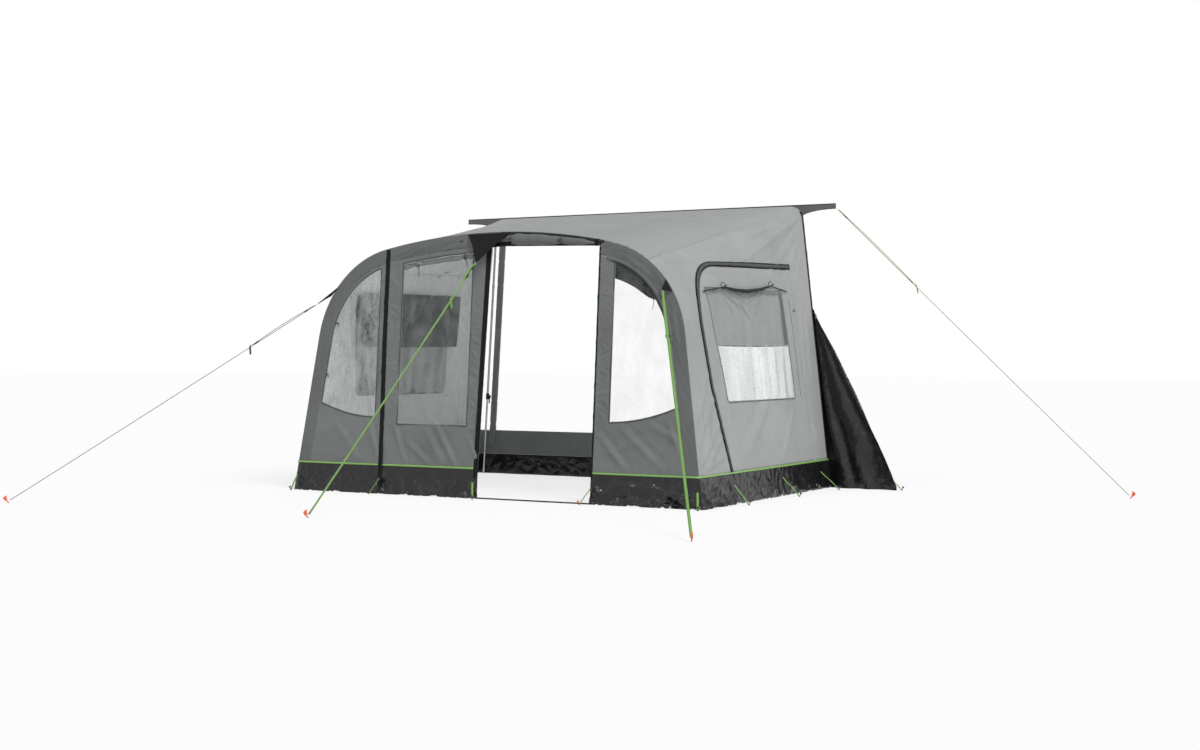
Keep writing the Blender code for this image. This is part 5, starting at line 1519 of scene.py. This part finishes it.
for label, (start, end) in GUYS.items():
    start, end = Vector(start), Vector(end)
    run = (end - start).normalized()
    low, high = start + run * 0.012, end - run * 0.012
    path = [low.lerp(high, s) - Vector((0, 0, 0.016 * s * (1.0 - s))) for s in steps(0.0, 1.0, 34)]
    out = strap_out(path)
    # The left guy's dark webbing is painted shade.
    webbing_look = PAINTED_SHADE_WEBBING if label == "left" else GREEN_WEBBING
    strap = make_object(ribbon(path, out, WEB_WIDTH, columns=2), "guy_" + label, webbing_look, "awning")
    thicken(strap, WEBBING)
    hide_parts("guy_strap_" + label)
    fittings = bmesh.new()
    places = BUCKLES[label]
    for distance in places:
        add_mesh(fittings, buckle(start + run * (0.012 + distance) + out * 0.001, run, out))
    fitting(fittings, "guy_buckles_" + label)
    runner = start + run * (places[1] + (0.26 if label == "center" else 0.05))
    back = [start + run * 0.03 + out * 0.004]
    back += [start + run * (0.03 + (places[1] + 0.02) * s) + out * (0.004 + 0.008 * math.sin(math.pi * s))
             + run.cross(out) * 0.006 * math.sin(2.5 * s) for s in steps(0.0, 1.0, 12)[1:]]
    webbing_strap(even_path(back, 0.01), out, "guy_return_" + label, webbing_look)
    tail = [runner + out * 0.006, runner + run * 0.01 + out * 0.010, runner + run * 0.03 + out * 0.008]
    drop = runner + run * 0.03 + out * 0.008
    tail += [drop + Vector((0.004 * i, -0.003 * i, -0.014 * i)) for i in range(1, 6)]
    webbing_strap(even_path(tail, 0.006), out, "guy_tail_" + label, webbing_look)
    tuple(low)
    path_length(path)
    [tuple(p) for p in path]
    if label in PATCHES:
        a, b = patch_root(*PATCHES[label][0]), patch_root(*PATCHES[label][1])
        tip = start - run * 0.004

        def place(s, t, a=a, b=b, tip=tip, run=run):
            across = (b - a).normalized()
            end_a, end_b = tip - across * 0.011, tip + across * 0.011
            edge_in = 0.10 * math.sin(math.pi * t)
            left, right = a.lerp(end_a, t), b.lerp(end_b, t)
            s = s + (0.5 - s) * edge_in
            return left.lerp(right, s)

        bm = grid(24, 24, place)
        add_uv(bm, lambda co: (co.x, co.z))
        bm.normal_update()
        if sum((face.normal for face in bm.faces), Vector()).y > 0:
            bmesh.ops.reverse_faces(bm, faces=bm.faces)
        area = sheet_area(bm)
        height = (tip - a).cross(b - a).length / (b - a).length
        cloth(bm, "patch_" + label, PATCH_CLOTH, "awning", (round((b - a).length, 3), round(height, 3)), area,
              "guy_patch_" + label, thickness=0.0016)
    print("guy", label, round(path_length(path), 3), "m")

# %% [markdown]
# ## Zips and their flaps
#
# Every zip lies under a flap of cloth or tape, which keeps rain out. The tape is sewn along one edge only,
# so it lifts and wanders a little. There is one up the left of the zip-out panel, one on each side of the
# doorway, and one that runs round the free edges of each side door.

# %% Zip tapes
def front_line(points, out=0.0):
    return [front_place(x, z, out) for x, z in points]


ZIP_CENTRE = -1.048
ZIP_LINE = ((ZIP_CENTRE + 0.004, 0.02), (ZIP_CENTRE + 0.004, MUD_TOP), (ZIP_CENTRE, 0.74),
            (ZIP_CENTRE - 0.008, 1.25), (ZIP_CENTRE - 0.006, ARCH.crown_z(ZIP_CENTRE) - 0.012))
zip_path = even_path(front_line(ZIP_LINE[::-1], 0.003)[::-1], 0.02)
trim(ribbon(zip_path, FRONT_OUT, 0.042, crown=0.003, wave=0.006, seed=71.0), "zip_flap_left", BLACK_TAPE,
     thickness=0.0015)
for name, top_x, low_x, width, seed in (
        ("door_zip_left", DOOR_LEFT_X - 0.022, DOOR_LEFT_LOW_X - 0.022, 0.044, 72.0),
        ("door_zip_right", DOOR_RIGHT_X + 0.006, DOOR_RIGHT_X + 0.006, 0.014, 73.0)):
    line = [(low_x, 0.03), (low_x, MUD_TOP), (top_x, ARCH.crown_z(top_x) - 0.02)]
    path = even_path(front_line(line, 0.002), 0.02)
    trim(ribbon(path, FRONT_OUT, width, crown=0.002, wave=0.004, seed=seed), name, BLACK_TAPE,
         thickness=WEBBING)


def side_point(side, y, z, out=0.0):
    """A point on a side wall's outer face with its lift, and the way out there."""
    point = wall_point(y, z)
    near = wall_point(y + 0.01, z) - point
    up = wall_point(y, z + 0.01) - point
    normal = near.cross(up).normalized()
    point = point + normal * (side_lift(side, y, z) + out)
    return (Vector((point.x * side, point.y, point.z)), Vector((normal.x * side, normal.y, normal.z)))


def side_ribbon(side, line, width, name, body, material, crown=0.002, wave=0.003, out=0.002, seed=0.0):
    """A tape along a side wall, following a line of y and height."""
    flat = even_path([Vector((y, z, 0.0)) for y, z in line], 0.02)
    pairs = [side_point(side, p.x, p.y, out) for p in flat]
    points, normals = [p for p, n in pairs], [n for p, n in pairs]
    bm = ribbon(points, lambda i: normals[i], width, crown=crown, wave=wave, seed=seed)
    return trim(bm, name, material, body, thickness=VINYL)


free_edge = SIDE_DOOR_YZ[:-1]
last_y, last_z = free_edge[-1]
flap_edge = free_edge[:-1] + [(last_y - 0.016, last_z)]
rear_edge = [(RAIL_Y - 0.016, z) for z in steps(0.02, 2.385, 30)]
for label, side in SIDES:
    side_ribbon(side, free_edge, 0.048, "side_zip_" + label, "awning", BLACK_TAPE, seed=75.0 + side)
    side_ribbon(side, flap_edge, 0.026, "side_zip_flap_" + label, "awning", ZIP_FLAP_CLOTH, crown=0.004,
                wave=0.006, out=0.0050, seed=77.0 + side)
    side_ribbon(side, rear_edge, 0.030, "rear_edge_tape_" + label, "awning", BLACK_TAPE, wave=0.002,
                seed=79.0 + side)
print("side zip points", len(free_edge))

# %% [markdown]
# ## Green piping
#
# A vinyl piping is sewn into the seam between the cloth and the mud wall. It gives the seam a clean line
# and is the only bright colour on the walls.

# %% Piping
PIPING_RADIUS = 0.0075


def pipe(name, points, outward):
    """A length of the green piping along a seam."""
    trim(tube(points, PIPING_RADIUS, 10, outward), name, PIPING_VINYL)


edge_x = ARCH.point(3.0)[0]
for name, low_x, high_x in (("piping_front_outer_left", -edge_x, ZIP_CENTRE - 0.022),
                            ("piping_front_inner_left", ZIP_CENTRE + 0.024, DOOR_LEFT_LOW_X - 0.045),
                            ("piping_front_right", DOOR_RIGHT_X + 0.014, edge_x)):
    pipe(name, even_path(front_line([(low_x, MUD_TOP), (high_x, MUD_TOP)], 0.003), 0.03), FRONT_OUT)
for label, side in SIDES:
    seam = [side_point(side, y, MUD_TOP, 0.003)[0]
            for y in steps(FRONT_Y + LEAN * MUD_TOP, RAIL_Y - 0.008, 110)]
    pipe("piping_side_" + label, seam, Vector((side, 0, 0)))

# %% [markdown]
# ## Pegging loops along the foot
#
# Short loops of the same green webbing come out from under the mud wall, and a small steel pin with a
# moulded head holds each to the ground.

# %% Loops and small pegs
def ground_loop(name, wall, ground, head=BLACK_NYLON):
    """A webbing loop from a place on the wall to one on the ground, with its pin."""
    wall, ground = Vector(wall), Vector(ground)
    flat = Vector((ground.x - wall.x, ground.y - wall.y, 0.0))
    mid = wall.lerp(ground, 0.55)
    mid.z = max(0.004, 0.50 * wall.z)
    rise = Vector((0, 0, 0.004))
    path = even_path([wall, wall.lerp(mid, 0.5) - rise, mid, ground + rise], 0.008)
    out = (Vector((0, 0, 1)) + flat.normalized() * 0.6).normalized()
    webbing_strap(path, out, name + "_web", GREEN_WEBBING, 0.018)
    axis = (flat.normalized() * 0.35 + Vector((0, 0, 1))).normalized()
    low = Vector((ground.x, ground.y, 0.003))
    profile = [(0.0, 0.0), (0.0027, 0.0), (0.0027, 0.024), (0.0085, 0.025), (0.0095, 0.028), (0.0085, 0.033),
               (0.003, 0.036), (0.0, 0.036)]
    fitting(spun(profile, facing(low, axis), 16), name + "_peg", material=head)


FRONT_LOOPS = ((-1.905, -0.01), (-1.036, -0.05), (-0.105, 0.05), (0.995, -0.06), (1.915, 0.04))
for i, (x, side_step) in enumerate(FRONT_LOOPS):
    ground_loop("front_loop_%d" % (i + 1), front_place(x, 0.13, 0.022), (x + side_step, FRONT_Y - 0.085, 0.0),
                ORANGE_PLASTIC if i == 3 else BLACK_NYLON)
for label, side in SIDES:
    for i, d in enumerate((1.99, 1.06, 0.25)):
        ground_loop("side_loop_%s_%d" % (label, i + 1), side_point(side, RAIL_Y - d, 0.15, 0.022)[0],
                    (side * (1.95 + 0.12), RAIL_Y - d - 0.02, 0.0))
    ground_loop("flap_loop_" + label, (side * 2.455, RAIL_Y - 0.034, 0.085),
                (side * 2.545, RAIL_Y - 0.05, 0.0))

# %% [markdown]
# ## Windows' hems, toggles and cords
#
# The film is sewn in under a turned hem. Toggles and loops hold the rolls: a loop of elastic goes round
# the roll and slips over a moulded barrel.

# %% Hems and toggles
def front_tape(name, points, width, material, out=0.0008, lift=front_lift):
    """A flat tape sewn on the front wall along points of x and height."""
    path = even_path([front_place(x, z, lift(x, z) + out) for x, z in points], 0.02)
    trim(ribbon(path, FRONT_OUT, width, crown=0.0004, columns=2), name, material, thickness=CLOTH)


def no_lift(*place):
    """For a tape that lies straight, without the cloth's folds."""
    return 0.0


for label, (outline, window) in PANELS.items():
    closed = window + [window[0]]
    front_tape("window_hem_" + label, closed, 0.016, FRONT_CLOTH)
    front_tape("window_seam_" + label, closed, 0.005, SEAM_THREAD, 0.0024)

arch_edge = [(x, ARCH.crown_z(x) - 0.013) for x in steps(0.06, 1.02, 24)]
front_tape("arch_edge_over_door", arch_edge, 0.024, SEAM_THREAD, 0.0030, lift=band_lift)
head_edge = [(x, header_z(x) + 0.004) for x in steps(-0.02, 0.975, 20)]
front_tape("door_head_zip", head_edge, 0.012, BLACK_TAPE, 0.0030, lift=band_lift)
front_tape("door_head_zip_end_right", [(0.955, 1.990), (0.957, 2.044)], 0.040, BLACK_TAPE, 0.0045,
           lift=no_lift)
front_tape("door_head_zip_end_left", [(-0.02, 2.022), (0.16, 2.034)], 0.034, BLACK_TAPE, 0.0045,
           lift=no_lift)

ROLL_LINE = ((2.055, 1.632), (1.90, 1.655), (1.739, 1.674), (1.53, 1.658), (1.316, 1.655), (1.09, 1.675),
             (0.869, 1.712), (0.70, 1.692), (0.546, 1.672))


COVER_TOGGLES = (1.739, 0.869)


def cover_squeeze(point):
    """The rolled cover is thickest between its two toggles and runs out to a thin end on each side."""
    d = RAIL_Y - point.y
    middle = max(0.0, 1.0 - abs(d - 1.304) / 0.435)
    return 0.32 + 0.68 * middle ** 0.5 - 0.12 * pinch(d, COVER_TOGGLES, 0.03)


for label, side in SIDES:
    door = "door_" + label
    loop = SIDE_WINDOW_YZ + [SIDE_WINDOW_YZ[0]]
    side_ribbon(side, loop, 0.018, "side_window_hem_" + label, door, SIDE_CLOTH, crown=0.0006, wave=0.0,
                out=0.0012)
    side_ribbon(side, loop, 0.005, "side_window_seam_" + label, door, SEAM_THREAD, crown=0.0004,
                wave=0.0015, out=0.0026, seed=81.0)
    stitch = [(RAIL_Y - 0.50, 1.62), (RAIL_Y - 0.475, 1.20), (RAIL_Y - 0.455, 0.80)]
    side_ribbon(side, stitch, 0.0035, "side_stitch_" + label, door, SEAM_THREAD, crown=0.0002,
                wave=0.0010, out=0.0010, seed=83.0)
    hem = [curtain_place(side, s, 0.0) + Vector((side * 0.0015, 0, 0.006)) for s in steps(0.0, 1.0, 120)]
    trim(ribbon(hem, Vector((side, 0, 0.1)), 0.012, columns=2), "curtain_hem_" + label, SEAM_THREAD, door,
         thickness=CLOTH)
    # The rolled cover's dark colour is painted shade, the shadow under the roll.
    roll_points = even_path([side_point(side, RAIL_Y - d, z, 0.014)[0] for d, z in ROLL_LINE], 0.02)
    bm, length = rolled(roll_points, Vector((side, 0, 0)), 0.016, 0.004, 0.0022, cover_squeeze,
                        turns_sides=14, seed=8.0)
    add_uv(bm, lambda co: (co.y, co.z))
    cloth(bm, "window_cover_roll_" + label, PAINTED_SHADE_CLOTH, door, (1.52, round(0.58 * length, 2)), None,
          None, thickness=0.0006)
    toggles = bmesh.new()
    for d, z in zip(COVER_TOGGLES, (1.678, 1.716)):
        point = side_point(side, RAIL_Y - d, z, 0.034)[0]
        add_mesh(toggles, toggle(point, (0.1 * side, 1, 0.35), 0.046))
        ring = [side_point(side, RAIL_Y - d + 0.004 * math.sin(2 * a), z + 0.026 * math.sin(a) + 0.006,
                           0.016 + 0.016 * math.cos(a))[0] for a in steps(0.0, math.tau, 20)]
        add_mesh(toggles, tube(ring, 0.0022, 6, Vector((0, 1, 0))))
    fitting(toggles, "window_cover_toggles_" + label, door)
    stud_place = side_point(side, RAIL_Y - 0.422, 1.517, 0.006)[0]
    fitting(toggle(stud_place, (0, 1, 0.6), 0.030), "side_stud_" + label, door)
print("side windows dressed")

inner_edge = [ARCH.inset(BAND_WIDTH + 0.008).point(w) for w in steps(0.99, 2.05, 60)]
front_tape("arch_inner_tape", inner_edge, 0.034, BAND_CLOTH, 0.0018)
inner_seam = [ARCH.inset(BAND_WIDTH + 0.026).point(w) for w in steps(1.04, 2.05, 60)]
front_tape("arch_inner_seam", inner_seam, 0.006, SEAM_THREAD, 0.0034)

UP_THE_FRONT = Vector((0, LEAN, 1)).normalized()


def elastic_loop(centre, out, rise, sway, radius, count):
    """A loop of elastic round a roll, out from the wall and up it, with a little sway to the side."""
    loop = [centre + FRONT_OUT * math.cos(a) * out + Vector((sway * math.sin(2 * a), 0, 0))
            + UP_THE_FRONT * math.sin(a) * rise for a in steps(0.0, math.tau, count)]
    return tube(loop, radius, 8, Vector((1, 0, 0)))


for i, x in enumerate(ROLL_TOGGLES):
    centre = front_place(x, sum(roll_span(x)) / 2, ROLL_OUT)
    bm = elastic_loop(centre, 0.029, 0.031, 0.004, 0.0022, 28)
    add_mesh(bm, toggle(centre + FRONT_OUT * 0.036 - Vector((0, 0, 0.004)), (1, 0, 0.15)))
    fitting(bm, "door_roll_toggle_%d" % (i + 1))
for i, x in enumerate(CURTAIN_TOGGLES):
    centre = front_place(x, ARCH.crown_z(x) - BAND_WIDTH - 0.058, -0.027)
    bm = elastic_loop(centre, 0.017, 0.017, 0.0, 0.0018, 24)
    add_mesh(bm, toggle(centre - Vector((0, 0, 0.020)), (1, 0, -0.1), 0.034))
    fitting(bm, "window_curtain_toggle_%d" % (i + 1))
CORDS = {
    "curtain_cord_1": ((-0.739, 1.875), (-0.735, 1.784)),
    "curtain_cord_2": ((-0.283, 1.937), (-0.252, 1.855)),
    "window_hook_1": ((-1.563, 1.410), (-1.545, 1.385)),
    "window_hook_2": ((-1.648, 0.980), (-1.632, 0.952)),
    "band_stud": ((-0.320, 2.064), (-0.308, 2.058)),
}
for name, (top, low) in CORDS.items():
    middle = ((top[0] + low[0]) / 2 + 0.006, (top[1] + low[1]) / 2)
    path = even_path([front_place(x, z, 0.006) for x, z in (top, middle, low)], 0.006)
    bm = tube(path, 0.0030, 8, FRONT_OUT)
    add_mesh(bm, toggle(path[0], (1, 0, 0.3), 0.026))
    fitting(bm, name)
print("toggles made")

# %% [markdown]
# ## The frame's finishes
#
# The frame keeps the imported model's meshes. The arch is galvanised steel tube, the telescopic poles are
# anodised alloy, and clamps, levers and collars are moulded nylon.

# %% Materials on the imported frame
FINISHES = {
    "arch_": STEEL_TUBE, "rear_upright_upper": ALLOY_TUBE, "rear_upright_lower": ALLOY_TUBE,
    "rear_upright_clamp": BLACK_NYLON, "rear_upright_lever": BLACK_NYLON, "roof_pole_front": ALLOY_TUBE,
    "roof_pole_rear": ALLOY_TUBE, "roof_pole_collar": BLACK_NYLON, "ground_peg": ORANGE_PLASTIC,
}
dressed = 0
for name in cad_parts:
    for start, material in FINISHES.items():
        if name.startswith(start):
            obj = bpy.data.objects[name]
            for slot in obj.material_slots:
                slot.material = material
            dressed += 1
print("frame nodes dressed:", dressed)

# %% [markdown]
# ## Floor and light
#
# The awning stands on a plain pale floor in soft light, as on a bright overcast day: a broad sun from high
# on the right, which grazes the front wall so that its gathers show, and an even surround. The camera sees
# floor and surround as white, and the floor keeps the awning's shadow.

# %% Stage
def white_for_camera(tree, shader_output, share):
    """Mixes a white glow into a shader, for the camera's own rays and for mirrored and see-through ones."""
    rays = add_node(tree, "LightPath")
    through = add_node(tree, "Math", {"operation": "MAXIMUM"},
                       {0: rays.outputs["Is Glossy Ray"], 1: rays.outputs["Is Transmission Ray"]})
    seen = add_node(tree, "Math", {"operation": "MAXIMUM"},
                    {0: rays.outputs["Is Camera Ray"], 1: through.outputs[0]})
    factor = add_node(tree, "Math", {"operation": "MULTIPLY"}, {0: seen.outputs[0], 1: share})
    glow = add_node(tree, "Emission", sockets={"Color": (1.0, 1.0, 1.0, 1.0), "Strength": 1.0})
    mix = add_node(tree, "MixShader", sockets={0: factor.outputs[0], 1: shader_output,
                                                         2: glow.outputs[0]})
    return mix.outputs[0]


bm = bmesh.new()
bmesh.ops.create_grid(bm, x_segments=8, y_segments=8, size=60.0)
floor_mesh = bpy.data.meshes.new("floor")
bm.to_mesh(floor_mesh)
bm.free()
floor = bpy.data.objects.new("floor", floor_mesh)
bpy.context.scene.collection.objects.link(floor)
floor_material, floor_tree, floor_shader = start_material("pale_floor", Roughness=0.9, Specular_IOR_Level=0.1)
floor_shader.inputs["Base Color"].default_value = linear("F4F4F4")
floor_tree.links.new(white_for_camera(floor_tree, floor_shader.outputs[0], 0.75),
                     floor_tree.nodes["Material Output"].inputs["Surface"])
floor_mesh.materials.append(floor_material)


def sun_light(name, towards, strength, spread):
    """A sun whose light comes from a direction; the spread in degrees softens its shadows."""
    data = bpy.data.lights.new(name, "SUN")
    data.energy = strength
    data.angle = math.radians(spread)
    obj = bpy.data.objects.new(name, data)
    obj.matrix_world = facing(Vector((0, 0, 6)), towards)
    bpy.context.scene.collection.objects.link(obj)


sun_light("key", (0.66, -0.33, 0.67), 2.35, 24.0)
sun_light("glint", (-0.20, -0.70, 0.68), 0.26, 7.0)

world = bpy.data.worlds.new("surround")
bpy.context.scene.world = world
world.use_nodes = True
tree = world.node_tree
tree.nodes.clear()
even = add_node(tree, "Background", sockets={"Color": linear("EEF0F1"), "Strength": 0.50})
add_node(tree, "OutputWorld", sockets={"Surface": white_for_camera(tree, even.outputs[0], 1.0)})
bpy.context.scene.view_settings.view_transform = "Standard"
print("lights:", len(bpy.data.lights))
